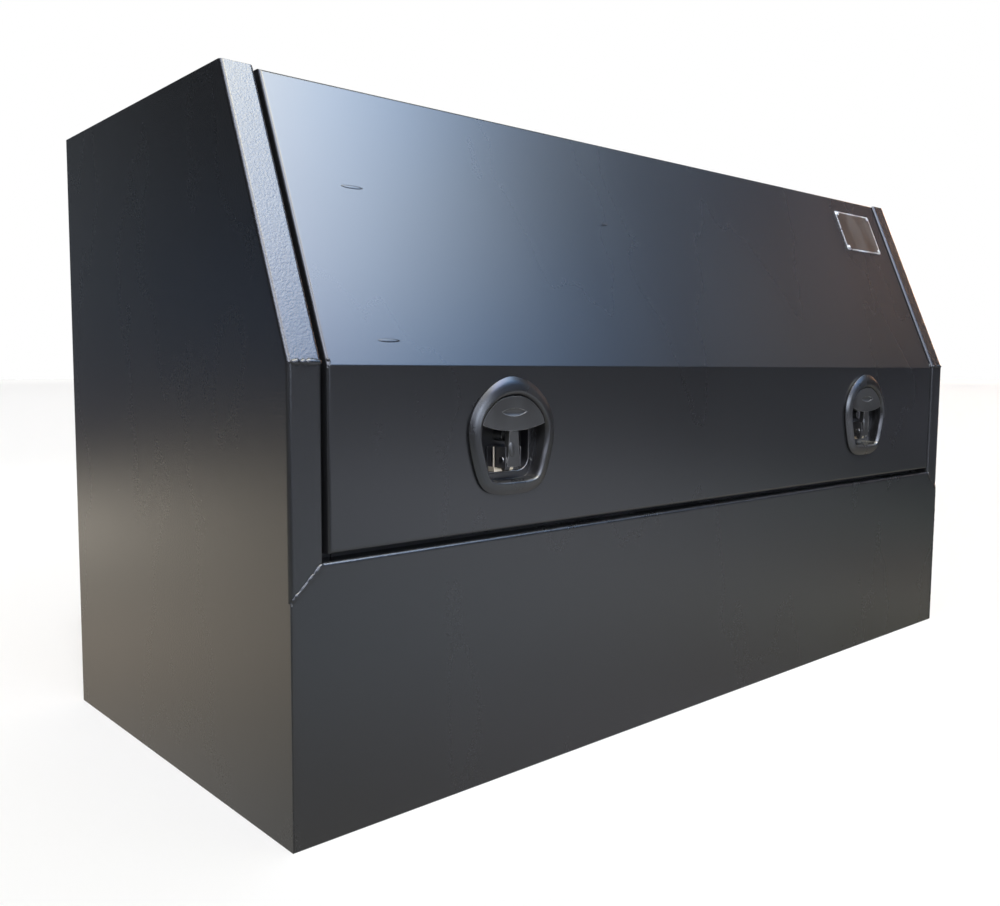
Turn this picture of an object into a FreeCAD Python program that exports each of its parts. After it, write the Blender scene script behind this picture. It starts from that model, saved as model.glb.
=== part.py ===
import FreeCAD, Part
import math
import os

from FreeCAD import Placement, Rotation, Vector

# Half lid toolbox in folded aluminium sheet.
# Millimetres. The origin is the centre of the footprint on the ground.
# +X runs along the box to the right, the front faces -Y and +Z is up.

# Overall size of the folded box
LENGTH = 1500.0
DEPTH = 600.0
HEIGHT = 830.0
KNEE_HEIGHT = 507.0
SLOPE_RUN = 130.0

# Sheet and folds
SHEET = 2.5
BEND = 4.5
CHANNEL_SHEET = 1.6
CHANNEL_BEND = 2.4

# Door frame round the opening
FLANGE = 41.0
FLANGE_RETURN = 22.0
SILL_HEIGHT = 300.0
MITRE_DROP = 37.0
ROOF_DROP = 2.0
CHANNEL_DEPTH = 25.6
CHANNEL_START = 6.0
LIP_OFFSET = 25.0
LIP_TIP = 10.0
SILL_LIP_HEIGHT = 25.0
HEADER_DOWN = 22.0
HEADER_TURN = 12.0
HEADER_BEHIND_PIN = 6.0

# Bulb seal on the lips of the channels
SEAL_CLIP = 1.5
SEAL_GRIP = 10.0
SEAL_NOSE = 4.1
BULB_RADIUS = 3.0

# Lid
LID_SIDE_GAP = 6.0
LID_SILL_GAP = 8.0
LID_INSET = 1.2
LID_RETURN = 18.0
LID_BEND = 4.0
LID_CLEARANCE = 3.0
RIB_SHEET = 1.6
RIB_BEND = 2.2
RIB_CROWN = 30.0
RIB_FOOT = 15.0
RIB_HEIGHT = 16.0
RIB_LOW = 14.0
RIB_FROM_TOP = 50.18
RIB_FROM_END = 135.0
RIB_SPREAD = 423.0

# Piano hinge
PIN_RADIUS = 1.6
LEAF = 1.2
LEAF_WIDTH = 32.0
KNUCKLE_FIT = 0.06
KNUCKLE_GAP = 0.4
KNUCKLE_PITCH = 50.0
HINGE_BEHIND_EDGE = 51.0
HINGE_END_GAP = 3.0
SHEET_TO_PIN = 4.0
RIVET_RADIUS = 2.4
RIVET_HEAD_RADIUS = 4.8
RIVET_HEAD = 1.4
RIVET_END = 0.7
RIVET_PITCH = 100.0
RIVET_FIT = 0.05
RIVET_END_SHARE = 1.5

# Gas struts
STRUT_FROM_END = 88.0
STRUT_FOOT_BACK = 151.3
STRUT_FOOT_HEIGHT = 385.9
STRUT_LID_FROM_TOP = 75.48
STRUT_LID_DEEP = 26.0
CYLINDER_RADIUS = 9.0
CYLINDER_BORE = 7.5
ROD_SHOWN = 55.25
CYLINDER_START = 20.0
CYLINDER_WALL = 6.0
GUIDE_LENGTH = 20.0
ROD_RADIUS = 4.0
PISTON_LENGTH = 12.0
PISTON_PLACE = 45.0
PISTON_FIT = 0.3
EYE_RADIUS = 7.0
EYE_WIDTH = 10.0
NECK_RADIUS = 4.0
STUD_RADIUS = 4.0
STUD_REACH = 4.0
STUD_HEAD = 2.0
STUD_HEAD_RADIUS = 6.0
RUNNING_FIT = 0.05
SIDE_GAP = 0.4
FOOT_CROWN = 30.0
FOOT_FLANGE = 18.0
FOOT_LENGTH = 36.0
BRACKET_SHEET = 3.0
BRACKET_BEND = 4.0
LID_BRACKET_FOOT = 20.0
LID_BRACKET_RISE = 34.0
LID_BRACKET_LENGTH = 40.0

# Latches, measured from the centre of each latch: across, up and into the lid
LATCH_FROM_END = 311.5
LATCH_ABOVE_SILL = 119.5
GASKET = 1.0
GASKET_INSET = 2.0
LATCH_WALL = 2.5
WALL_CLEARANCE = 0.7
LEDGE_DEEP = 11.0
LEDGE = 2.5
PAN_SHEET = 1.5
PAN_FLOOR = 23.5
PAN_HALF_WIDTH = 40.5
PAN_TOP = 24.0
PAN_BOTTOM = -44.0
PAN_CORNER = 18.0
PAN_FLANGE = 9.0
PAN_PROUD = 0.3
CUP_FIT = 0.05
YOKE_SHEET = 2.0
YOKE_HALF_WIDTH = 20.0
YOKE_TOP = -12.0
YOKE_BOTTOM = -42.0
CHEEK_INSIDE = 11.3
CHEEK_LOW = -37.0
CHEEK_FRONT = -3.0
PIVOT_DEEP = 3.0
PIVOT_UP = -28.0
PIVOT_RADIUS = 3.0
PIVOT_HEAD_RADIUS = 4.2
PIVOT_HEAD = 1.5
PAWL_DEEP = 40.0
PAWL_PIN_RADIUS = 2.5
CRANK = 10.0
LINK_PIN_RADIUS = 1.5
LINK_HALF_HEIGHT = 3.2
LINK_HALF_WIDTH = 2.6
LINK_ROOM_LOW = -15.0
LINK_ROOM_TOP = -5.0
SIDE_CLEARANCE = 0.4
HANDLE_FRONT = -5.0
HANDLE_BACK = 3.5
HANDLE_GAP = 1.2
HANDLE_EDGE = 1.2
TAIL_TIP_UP = 18.5
TAIL_TIP_HALF = 61.0
TAIL_LOW = 7.0
STEM_TOP_HALF = 6.6
STEM_LOW_HALF = 10.8
STEM_LOW = -36.0
STEM_FRONT = -4.0
DIMPLE_DEEP = 1.9
DIMPLE_SCOOP = 8.0
DIMPLE_UP = 30.0
DIMPLE_HALF = 21.0
DIMPLE_SAG = 5.5
DIMPLE_RISE = 4.0
HUB_RADIUS = 6.0
PAWL_HALF_WIDTH = 6.8
PAWL_REACH = 84.0
PAWL_SHEET = 4.0
PAWL_SHOULDER = 22.0
PAWL_FACE_GAP = 0.3
LOCK_UP = 2.0
LOCK_RADIUS = 8.5
LOCK_FACE = 9.0
LOCK_BACK = 42.0
PLUG_RADIUS = 5.5
KEY_SLOT = 1.4
KEY_SLOT_LENGTH = 7.0
KEY_SLOT_DEEP = 4.0
CAM_LENGTH = 18.0
CAM = 2.0
KEEPER = 2.0
KEEPER_HALF_WIDTH = 22.0
KEEPER_HEIGHT = 20.0
KEEPER_SCREW_SPACING = 32.0
REAR_BRACKET_BACK = 8.0
SCREW_RADIUS = 2.0
SCREW_HEAD_RADIUS = 3.6
SCREW_HEAD = 2.2
SCREW_SIDE = 47.0
SCREW_LOW = -30.0
SCREW_LOW_SIDE = 45.0
SCREW_HIGH = 18.0

# Nameplate on the slope of the lid
PLATE_LENGTH = 129.0
PLATE_HEIGHT = 81.0
PLATE = 1.0
PLATE_FROM_END = 150.0
PLATE_FROM_TOP = 70.88
PLATE_CORNER = 3.0
PLATE_RIVET_INSET = 6.0
PLATE_RIVET_RADIUS = 1.6
PLATE_RIVET_HEAD = 3.2

# Half outlines of the latch rim and of its opening, from the top round to the bottom
RIM_OUTLINE = (
    (30.0, 64.0), (52.0, 48.0), (66.5, 28.0), (71.3, 9.0), (69.0, -12.0),
    (64.0, -30.0), (58.0, -46.0), (49.5, -58.5), (36.0, -66.0),
)
OPENING_OUTLINE = (
    (22.0, 46.2), (39.0, 35.8), (50.0, 22.5), (53.8, 9.0), (52.2, -8.0),
    (47.2, -25.0), (42.6, -40.0), (37.6, -48.4), (27.0, -51.6),
)
RIM_TOP = 72.0
RIM_BOTTOM = -69.6
OPENING_TOP = 49.8
OPENING_BOTTOM = -52.2
# Share of the way from the rim's edge to the opening, and how far the rim stands out there
RIM_SECTION = ((0.0, 2.0), (0.2, 4.1), (0.42, 5.8), (0.64, 6.9), (0.78, 7.3), (0.84, 6.9), (1.0, 2.6))

# Sizes that follow
FRONT = -DEPTH / 2
BACK = DEPTH / 2
SIDE = LENGTH / 2
TOP_FRONT = FRONT + SLOPE_RUN
SLOPE_RISE = HEIGHT - KNEE_HEIGHT
SLOPE_LENGTH = math.hypot(SLOPE_RUN, SLOPE_RISE)
UP_SLOPE = Vector(0, SLOPE_RUN / SLOPE_LENGTH, SLOPE_RISE / SLOPE_LENGTH)
INTO_SLOPE = Vector(0, UP_SLOPE.z, -UP_SLOPE.y)
X_AXIS = Vector(1, 0, 0)
Y_AXIS = Vector(0, 1, 0)
Z_AXIS = Vector(0, 0, 1)
KNEE = Vector(0, FRONT, KNEE_HEIGHT)
KNEE_NORMAL = (Z_AXIS + UP_SLOPE).normalize()
OPENING_SIDE = SIDE - FLANGE
LIP_SIDE = OPENING_SIDE - LIP_OFFSET
LID_SIDE = OPENING_SIDE - LID_SIDE_GAP
LID_BOTTOM = SILL_HEIGHT + LID_SILL_GAP
LID_INNER = LID_INSET + SHEET
ROOF_TOP = HEIGHT - ROOF_DROP
ROOF_UNDER = ROOF_TOP - SHEET
HINGE_Y = TOP_FRONT + HINGE_BEHIND_EDGE
HINGE_Z = ROOF_UNDER + PIN_RADIUS
KNUCKLE_RADIUS = PIN_RADIUS + LEAF
LEAF_UNDER = ROOF_UNDER - LEAF
HINGE_HALF = LID_SIDE - HINGE_END_GAP
HEADER_FLOOR = ROOF_TOP - HEADER_DOWN
CHANNEL_FACE = CHANNEL_DEPTH - CHANNEL_SHEET
SILL_LIP = SILL_HEIGHT + SILL_LIP_HEIGHT
RIVET_BACK = SHEET_TO_PIN + (LEAF_WIDTH - SHEET_TO_PIN) / 2
STRUT_X = SIDE - STRUT_FROM_END
STRUT_LID_ALONG = SLOPE_LENGTH - STRUT_LID_FROM_TOP
RIB_HIGH = SLOPE_LENGTH - RIB_FROM_TOP
OUTER_RIB = SIDE - RIB_FROM_END
INNER_RIB = OUTER_RIB - RIB_SPREAD
LATCH_FROM_CENTRE = SIDE - LATCH_FROM_END
LATCH_HEIGHT = SILL_HEIGHT + LATCH_ABOVE_SILL
PLATE_FROM_CENTRE = SIDE - PLATE_FROM_END
PLATE_ALONG = SLOPE_LENGTH - PLATE_FROM_TOP
LARGE = 4 * LENGTH
OVERCUT = 1.0


def on_slope(along, deep, x=0.0):
    """The point that lies along the slope from the knee, and deep inside its outer face."""
    return KNEE + UP_SLOPE * along + INTO_SLOPE * deep + Vector(x, 0, 0)


def along_at_height(height, deep):
    """How far along the slope a line at this depth reaches the height."""
    return (height - KNEE_HEIGHT - INTO_SLOPE.z * deep) / UP_SLOPE.z


def along_at_plane(y, deep):
    """How far along the slope a line at this depth crosses an upright plane."""
    return (y - FRONT - INTO_SLOPE.y * deep) / UP_SLOPE.y


LIP_ALONG = along_at_height(HEADER_FLOOR, CHANNEL_FACE) - HEADER_TURN
STRUT_FOOT = Vector(0, FRONT + STRUT_FOOT_BACK, STRUT_FOOT_HEIGHT)
STRUT_LID = on_slope(STRUT_LID_ALONG, STRUT_LID_DEEP)
STRUT_LENGTH = (STRUT_LID - STRUT_FOOT).Length
CYLINDER_LENGTH = STRUT_LENGTH - CYLINDER_START - ROD_SHOWN
STRUT_AXIS = (STRUT_LID - STRUT_FOOT).normalize()
KEEPER_BACK = CHANNEL_DEPTH + KEEPER
TONGUE_FACE = KEEPER_BACK + PAWL_FACE_GAP
PAN_BACK = PAN_FLOOR + PAN_SHEET


def box(x0, x1, y0, y1, z0, z1):
    """A block between two corners."""
    return Part.makeBox(x1 - x0, y1 - y0, z1 - z0, Vector(x0, y0, z0))


def rod(start, axis, radius, length):
    """A round bar from a point along an axis."""
    return Part.makeCylinder(radius, length, start, axis)


def joined(shapes):
    """All shapes made one solid, without seams between coplanar faces."""
    shape = shapes[0].fuse(list(shapes[1:])) if len(shapes) > 1 else shapes[0]
    return shape.removeSplitter()


def cut(shape, tools):
    """The shape with every tool taken out of it."""
    return shape.cut(list(tools))


def mirrored(shape):
    """The same piece on the other end of the box."""
    return shape.mirror(Vector(0, 0, 0), X_AXIS)


def moved(shape, x=0.0, y=0.0, z=0.0):
    """A copy of the shape set somewhere else."""
    copy = shape.copy()
    copy.translate(Vector(x, y, z))
    return copy


def prism(points, x0, x1):
    """An outline of (y, z) points run along X."""
    corners = [Vector(x0, y, z) for y, z in points]
    return Part.Face(Part.makePolygon(corners + corners[:1])).extrude(Vector(x1 - x0, 0, 0))


def half_space(point, normal):
    """All the space on the side of a plane that its normal points to."""
    block = Part.makeBox(LARGE, LARGE, LARGE, Vector(-LARGE / 2, -LARGE / 2, 0))
    block.Placement = Placement(point, Rotation(Z_AXIS, normal))
    return block


def offset_line(points, distance):
    """The points of an open line moved sideways to its left by a distance."""
    normals = []
    for (u0, v0), (u1, v1) in zip(points, points[1:]):
        run = math.hypot(u1 - u0, v1 - v0)
        normals.append(((v0 - v1) / run, (u1 - u0) / run))
    result = []
    for index, (u, v) in enumerate(points):
        before = normals[max(index - 1, 0)]
        after = normals[min(index, len(normals) - 1)]
        scale = distance / (1 + before[0] * after[0] + before[1] * after[1])
        result.append((u + scale * (before[0] + after[0]), v + scale * (before[1] + after[1])))
    return result


def bent_line(points, bend_left, bend_right):
    """Edges along a line whose corners are arcs, with one radius for each way that it turns."""
    corners = [Vector(u, v, 0) for u, v in points]
    edges = []
    start = corners[0]
    for before, corner, after in zip(corners, corners[1:], corners[2:]):
        inward = (before - corner).normalize()
        outward = (after - corner).normalize()
        radius = bend_left if (corner - before).cross(after - corner).z > 0 else bend_right
        half = inward.getAngle(outward) / 2
        reach = radius / math.tan(half)
        middle = (inward + outward).normalize() * (radius / math.sin(half) - radius)
        enter = corner + inward * reach
        leave = corner + outward * reach
        edges.append(Part.makeLine(start, enter))
        edges.append(Part.Arc(enter, corner + middle, leave).toShape())
        start = leave
    edges.append(Part.makeLine(start, corners[-1]))
    return edges


def folded(points, sheet, bend):
    """The section of a folded sheet that lies to the left of a line of (u, v) points."""
    other = offset_line(points, sheet)
    edges = bent_line(points, bend, bend - sheet) + bent_line(other, bend - sheet, bend)
    for end in (0, -1):
        edges.append(Part.makeLine(Vector(*points[end], 0), Vector(*other[end], 0)))
    return Part.Face(Part.Wire(Part.sortEdges(edges)[0]))


def run_section(face, origin, across, deep, length):
    """A flat section stood up on two axes at an origin, and run along the third."""
    along = across.cross(deep)
    stood = face.copy()
    stood.Placement = Placement(origin, Rotation(across, deep, along, "XYZ"))
    return stood.extrude(along * length)


def round_knee(face, x, low):
    """A section run up the front and on up the slope, mitred at the knee."""
    upright = run_section(face, Vector(x, FRONT, low), X_AXIS, Y_AXIS, HEIGHT - low)
    sloping = run_section(face, on_slope(-SLOPE_LENGTH, 0, x), X_AXIS, INTO_SLOPE, 3 * SLOPE_LENGTH)
    upright = upright.cut(half_space(KNEE, KNEE_NORMAL))
    sloping = sloping.cut(half_space(KNEE, -KNEE_NORMAL))
    return joined([upright, sloping])


def mitre(side):
    """The plane where a flange meets the lower front, with its normal up and outwards."""
    point = Vector(side * OPENING_SIDE, 0, SILL_HEIGHT)
    return point, Vector(side * MITRE_DROP, 0, FLANGE).normalize()


def side_panel():
    """Left end: the flat side and the folded flange beside the lid, as one sheet."""
    outline = (
        (FRONT + SHEET, 0.0), (BACK, 0.0), (BACK, HEIGHT), (TOP_FRONT, HEIGHT),
        (FRONT, KNEE_HEIGHT), (FRONT, SILL_HEIGHT - MITRE_DROP), (FRONT + SHEET, SILL_HEIGHT - MITRE_DROP),
    )
    flat = prism(outline, -SIDE, -SIDE + SHEET)
    above = box(-SIDE, -SIDE + SHEET, FRONT, FRONT + BEND, SILL_HEIGHT - MITRE_DROP, KNEE_HEIGHT)
    beyond = half_space(on_slope(0, BEND), -INTO_SLOPE)
    flat = cut(flat, [above, beyond])
    line = ((0.0, BEND + SHEET), (0.0, 0.0), (FLANGE, 0.0), (FLANGE, FLANGE_RETURN))
    flange = round_knee(folded(line, SHEET, BEND), -SIDE, 0.0)
    point, normal = mitre(-1)
    under_roof = box(-SIDE + SHEET, 0, on_slope(SLOPE_LENGTH, SHEET).y - SHEET, BACK, ROOF_UNDER, 2 * HEIGHT)
    behind_face = half_space(on_slope(0, SHEET), INTO_SLOPE)
    flange = cut(flange, [
        half_space(point, -normal),
        half_space(Vector(0, 0, HEIGHT), Z_AXIS),
        under_roof.common(behind_face),
    ])
    return joined([flat, flange])


def lower_front():
    """The fixed half of the front, with the folded ledge under the lid."""
    rear = FRONT + CHANNEL_FACE - (CHANNEL_BEND - CHANNEL_SHEET)
    line = ((rear, SILL_HEIGHT), (FRONT, SILL_HEIGHT), (FRONT, 0.0))
    panel = run_section(folded(line, SHEET, BEND), Vector(-SIDE, 0, 0), Y_AXIS, Z_AXIS, LENGTH)
    return cut(panel, [half_space(*mitre(-1)), half_space(*mitre(1))])


def roof_panel():
    """The roof, with an ear beside each end of the lid."""
    half = SIDE - SHEET
    edge = HINGE_Y + SHEET_TO_PIN
    panel = box(-half, half, edge, BACK - SHEET, ROOF_UNDER, ROOF_TOP)
    ears = []
    for side in (-1, 1):
        low, high = sorted((side * OPENING_SIDE, side * half))
        ears.append(box(low, high, FRONT, edge, ROOF_UNDER, ROOF_TOP))
    panel = joined([panel] + ears)
    return cut(panel, [half_space(on_slope(0, SHEET), -INTO_SLOPE)])


def door_channel_side():
    """Left drain channel: behind the flange return, back and forward again to a lip."""
    line = (
        (FLANGE - SHEET, CHANNEL_START), (FLANGE - SHEET, CHANNEL_FACE),
        (FLANGE + LIP_OFFSET - CHANNEL_SHEET, CHANNEL_FACE), (FLANGE + LIP_OFFSET - CHANNEL_SHEET, LIP_TIP),
    )
    channel = round_knee(folded(line, CHANNEL_SHEET, CHANNEL_BEND), -SIDE, SILL_HEIGHT)
    room_for_lid = box(
        -OPENING_SIDE, 0, FRONT, FRONT + LID_RETURN + LID_CLEARANCE, 0, SILL_LIP - CHANNEL_SHEET
    )
    return cut(channel, [half_space(Vector(0, 0, HEADER_FLOOR - CHANNEL_SHEET), Z_AXIS), room_for_lid])


def door_channel_sill():
    """Lower drain channel, lapped under the ledge."""
    top = SILL_LIP - CHANNEL_SHEET
    line = (
        (FRONT + LIP_TIP, top), (FRONT + CHANNEL_FACE, top),
        (FRONT + CHANNEL_FACE, SILL_HEIGHT - SHEET), (FRONT + LIP_TIP, SILL_HEIGHT - SHEET),
    )
    face = folded(line, CHANNEL_SHEET, CHANNEL_BEND)
    return run_section(face, Vector(-LIP_SIDE, 0, 0), Y_AXIS, Z_AXIS, 2 * LIP_SIDE)


def door_channel_header():
    """Upper drain channel, lapped under the roof and the fixed hinge leaf."""
    wall = HINGE_Y + HEADER_BEHIND_PIN
    turn = on_slope(along_at_height(HEADER_FLOOR, CHANNEL_FACE), CHANNEL_FACE)
    low = on_slope(LIP_ALONG, CHANNEL_FACE)
    tip = on_slope(LIP_ALONG, LIP_TIP)
    line = (
        (HINGE_Y + LEAF_WIDTH, LEAF_UNDER), (wall, LEAF_UNDER), (wall, HEADER_FLOOR),
        (turn.y, turn.z), (low.y, low.z), (tip.y, tip.z),
    )
    half = SIDE - SHEET
    face = folded(line, CHANNEL_SHEET, CHANNEL_BEND)
    channel = run_section(face, Vector(-half, 0, 0), Y_AXIS, Z_AXIS, 2 * half)
    floor = HEADER_FLOOR - CHANNEL_SHEET
    return cut(channel, [
        box(-SIDE, -LIP_SIDE, FRONT, BACK, 0, floor),
        box(LIP_SIDE, SIDE, FRONT, BACK, 0, floor),
    ])


def seal_section(lip, direction):
    """A clip over a lip with a bulb in front of it; u runs across the lip and v into the box."""
    inner = lip + direction * CHANNEL_SHEET
    low, high = sorted((lip - direction * SEAL_CLIP, inner + direction * SEAL_CLIP))
    clip = Part.makePlane(high - low, SEAL_GRIP + SEAL_CLIP, Vector(low, LIP_TIP - SEAL_CLIP, 0))
    middle = Vector((low + high) / 2, SEAL_NOSE + BULB_RADIUS, 0)
    bulb = Part.Face(Part.Wire(Part.makeCircle(BULB_RADIUS, middle)))
    neck = Part.makePlane(
        2 * SEAL_CLIP, LIP_TIP - SEAL_NOSE - BULB_RADIUS, Vector(middle.x - SEAL_CLIP, middle.y, 0)
    )
    return clip.fuse([bulb, neck]).removeSplitter().Faces[0]


def door_seal(channels):
    """The seal round the whole opening, pushed over the lips."""
    reach = CHANNEL_SHEET + SEAL_CLIP
    side_face = seal_section(FLANGE + LIP_OFFSET - CHANNEL_SHEET, 1)
    side_run = round_knee(side_face, -SIDE, SILL_LIP - reach)
    side_run = side_run.common(half_space(on_slope(LIP_ALONG + SEAL_CLIP, 0), -UP_SLOPE))
    span = 2 * (LIP_SIDE + reach)
    sill_face = seal_section(SILL_LIP - CHANNEL_SHEET, 1)
    sill_run = run_section(sill_face, Vector(span / 2, FRONT, 0), Z_AXIS, Y_AXIS, span)
    head_face = seal_section(-CHANNEL_SHEET, 1)
    head_run = run_section(head_face, on_slope(LIP_ALONG, 0, span / 2), UP_SLOPE, INTO_SLOPE, span)
    ring = joined([side_run, mirrored(side_run), sill_run, head_run])
    return cut(ring, channels)


def hinge_places(moving):
    """The start and end of each knuckle of one leaf along the pin."""
    count = int(2 * HINGE_HALF // KNUCKLE_PITCH)
    pitch = 2 * HINGE_HALF / count
    return [
        (-HINGE_HALF + index * pitch, -HINGE_HALF + (index + 1) * pitch)
        for index in range(1 if moving else 0, count, 2)
    ]


def hinge_leaf(moving):
    """One leaf of the piano hinge with its knuckles."""
    side = -1 if moving else 1
    near, far = sorted((HINGE_Y, HINGE_Y + side * LEAF_WIDTH))
    leaf = box(-HINGE_HALF, HINGE_HALF, near, far, LEAF_UNDER, ROOF_UNDER)
    notches = []
    for start, end in hinge_places(not moving):
        reach = KNUCKLE_RADIUS + KNUCKLE_GAP
        notches.append(box(
            start - KNUCKLE_GAP / 2, end + KNUCKLE_GAP / 2, HINGE_Y - reach, HINGE_Y + reach,
            LEAF_UNDER - LEAF, ROOF_TOP,
        ))
    knuckles = []
    for start, end in hinge_places(moving):
        begin = Vector(start + KNUCKLE_GAP / 2, HINGE_Y, HINGE_Z)
        knuckles.append(rod(begin, X_AXIS, KNUCKLE_RADIUS, end - start - KNUCKLE_GAP))
    leaf = joined([cut(leaf, notches)] + knuckles)
    bore = rod(Vector(-LENGTH, HINGE_Y, HINGE_Z), X_AXIS, PIN_RADIUS + KNUCKLE_FIT, 2 * LENGTH)
    return leaf.cut(bore)


def hinge_rivet_points(side):
    """Where the rivets of a leaf stand, at the top of the sheet."""
    count = int(HINGE_HALF // RIVET_PITCH)
    start = -(count - 0.5) * RIVET_PITCH
    y = HINGE_Y + side * RIVET_BACK
    return [Vector(start + index * RIVET_PITCH, y, ROOF_TOP) for index in range(2 * count)]


def rivet(point, axis, radius, head_radius, grip):
    """A set rivet: a head on the outer face, its stem, and the formed end behind the sheets."""
    return joined([
        rod(point, axis, radius, grip),
        rod(point - axis * RIVET_HEAD, axis, head_radius, RIVET_HEAD),
        rod(point + axis * grip, axis, radius * RIVET_END_SHARE, RIVET_END),
    ])


def rivet_holes(points, axis, radius, depth):
    """The holes that the rivets pass through."""
    return [rod(point - axis * RIVET_HEAD, axis, radius + RIVET_FIT, depth) for point in points]


def lid_outline(inset, rear):
    """The (y, z) outline of the lid inside a sheet thickness, closed at a line behind it."""
    front = FRONT + inset
    deep = LID_INSET + inset
    low = along_at_plane(front, deep)
    top = ROOF_TOP - inset
    high = on_slope(along_at_height(top, deep), deep)
    return ((front, LID_BOTTOM + inset), (front, on_slope(low, deep).z), (high.y, top), (rear, top),
            (rear, LID_BOTTOM + inset))


def lid_body(inset, rear, bend):
    """The filled shape of the lid at an inset, with its outer edges rounded."""
    outline = lid_outline(inset, rear)
    half = LID_SIDE - inset
    body = prism(outline, -half, half)
    soft = []
    for edge in body.Edges:
        ends = [vertex.Point for vertex in edge.Vertexes]
        if all(point.y < rear - bend for point in ends):
            soft.append(edge)
    return body.makeFillet(bend, soft)


def lid_skin():
    """The half lid: an upright face, a sloping face, and folded returns all round."""
    rear = HINGE_Y - SHEET_TO_PIN
    outer = lid_body(0.0, rear, LID_BEND)
    inner = lid_body(SHEET, rear + LID_RETURN, LID_BEND - SHEET)
    outline = lid_outline(LID_RETURN, rear)
    room = prism(outline[:4] + ((rear, 0.0), (outline[0][0], 0.0)), -LENGTH, LENGTH)
    below_return = room.cut(half_space(Vector(0, 0, ROOF_UNDER), Z_AXIS))
    far_room = box(-LENGTH, LENGTH, rear - LID_RETURN, rear, 0, ROOF_UNDER)
    return cut(outer, [inner, below_return, far_room])


def hat(crown, foot, height, sheet, bend):
    """The section of a hat channel that stands on v = 0."""
    half = crown / 2
    line = (
        (-half - foot, 0.0), (-half, 0.0), (-half, height - sheet),
        (half, height - sheet), (half, 0.0), (half + foot, 0.0),
    )
    return folded(line, sheet, bend)


def lid_ribs():
    """Four hat channels up the inside of the slope."""
    section = hat(RIB_CROWN, RIB_FOOT, RIB_HEIGHT, RIB_SHEET, RIB_BEND)
    ribs = []
    for place in (-OUTER_RIB, -INNER_RIB, INNER_RIB, OUTER_RIB):
        start = on_slope(RIB_LOW, LID_INNER, place)
        ribs.append(run_section(section, start, X_AXIS, INTO_SLOPE, RIB_HIGH - RIB_LOW))
    return Part.makeCompound(ribs)


def strut_lid_bracket():
    """Left angle bracket on the lid with the ball stud's stem."""
    outer = -STRUT_X + EYE_WIDTH / 2 + SIDE_GAP + STUD_REACH
    line = (
        (outer, LID_BRACKET_RISE), (outer, BRACKET_SHEET), (outer - LID_BRACKET_FOOT, BRACKET_SHEET)
    )
    section = folded(line, BRACKET_SHEET, BRACKET_BEND)
    start = on_slope(STRUT_LID_ALONG - LID_BRACKET_LENGTH / 2, LID_INNER)
    angle = run_section(section, start, X_AXIS, INTO_SLOPE, LID_BRACKET_LENGTH)
    stud = rod(STRUT_LID + Vector(outer, 0, 0), -X_AXIS, STUD_RADIUS, STUD_REACH)
    return joined([angle, stud])


def strut_foot():
    """Left hat bracket on the side panel with the stud that carries the strut."""
    crown = -STRUT_X - EYE_WIDTH / 2 - SIDE_GAP
    height = crown + SIDE - SHEET
    section = hat(FOOT_CROWN, FOOT_FLANGE, height, BRACKET_SHEET, BRACKET_BEND)
    start = Vector(-SIDE + SHEET, STRUT_FOOT.y - FOOT_LENGTH / 2, STRUT_FOOT.z)
    bracket = run_section(section, start, Z_AXIS, X_AXIS, FOOT_LENGTH)
    stem = EYE_WIDTH + 2 * SIDE_GAP
    stud = rod(STRUT_FOOT + Vector(crown, 0, 0), X_AXIS, STUD_RADIUS, stem)
    head = rod(STRUT_FOOT + Vector(crown + stem, 0, 0), X_AXIS, STUD_HEAD_RADIUS, STUD_HEAD)
    return joined([bracket, stud, head])


def strut_eye(point):
    """A blank eye across the strut, before its bore."""
    return rod(point - X_AXIS * (EYE_WIDTH / 2), X_AXIS, EYE_RADIUS, EYE_WIDTH)


def strut_cylinder():
    """Left gas cylinder: lower eye, tube, end wall and rod guide."""
    base = Vector(-STRUT_X, STRUT_FOOT.y, STRUT_FOOT.z)
    start = base + STRUT_AXIS * CYLINDER_START
    end = start + STRUT_AXIS * CYLINDER_LENGTH
    shape = joined([
        strut_eye(base),
        rod(base, STRUT_AXIS, NECK_RADIUS, CYLINDER_START + CYLINDER_WALL / 2),
        rod(start, STRUT_AXIS, CYLINDER_RADIUS, CYLINDER_LENGTH),
    ])
    return cut(shape, [
        rod(base - X_AXIS * EYE_WIDTH, X_AXIS, STUD_RADIUS + RUNNING_FIT, 2 * EYE_WIDTH),
        rod(start + STRUT_AXIS * CYLINDER_WALL, STRUT_AXIS, CYLINDER_BORE,
            CYLINDER_LENGTH - CYLINDER_WALL - GUIDE_LENGTH),
        rod(start + STRUT_AXIS * CYLINDER_WALL, STRUT_AXIS, ROD_RADIUS + RUNNING_FIT, (end - start).Length),
    ])


def strut_rod():
    """Left piston rod with its piston and its upper eye."""
    base = Vector(-STRUT_X, STRUT_FOOT.y, STRUT_FOOT.z)
    piston = base + STRUT_AXIS * PISTON_PLACE
    eye = base + STRUT_AXIS * STRUT_LENGTH
    shape = joined([
        rod(piston, STRUT_AXIS, ROD_RADIUS, STRUT_LENGTH - PISTON_PLACE),
        rod(piston, STRUT_AXIS, CYLINDER_BORE - PISTON_FIT, PISTON_LENGTH),
        strut_eye(eye),
    ])
    return shape.cut(rod(eye - X_AXIS * EYE_WIDTH, X_AXIS, STUD_RADIUS + RUNNING_FIT, 2 * EYE_WIDTH))


def latch_point(u, v, w):
    """A point of the latch that stands at the middle of the box."""
    return Vector(u, FRONT + w, LATCH_HEIGHT + v)


def smooth_loop(points):
    """A closed curve through points, with no corner."""
    curve = Part.BSplineCurve()
    curve.interpolate(points, PeriodicFlag=True)
    return curve


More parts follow.
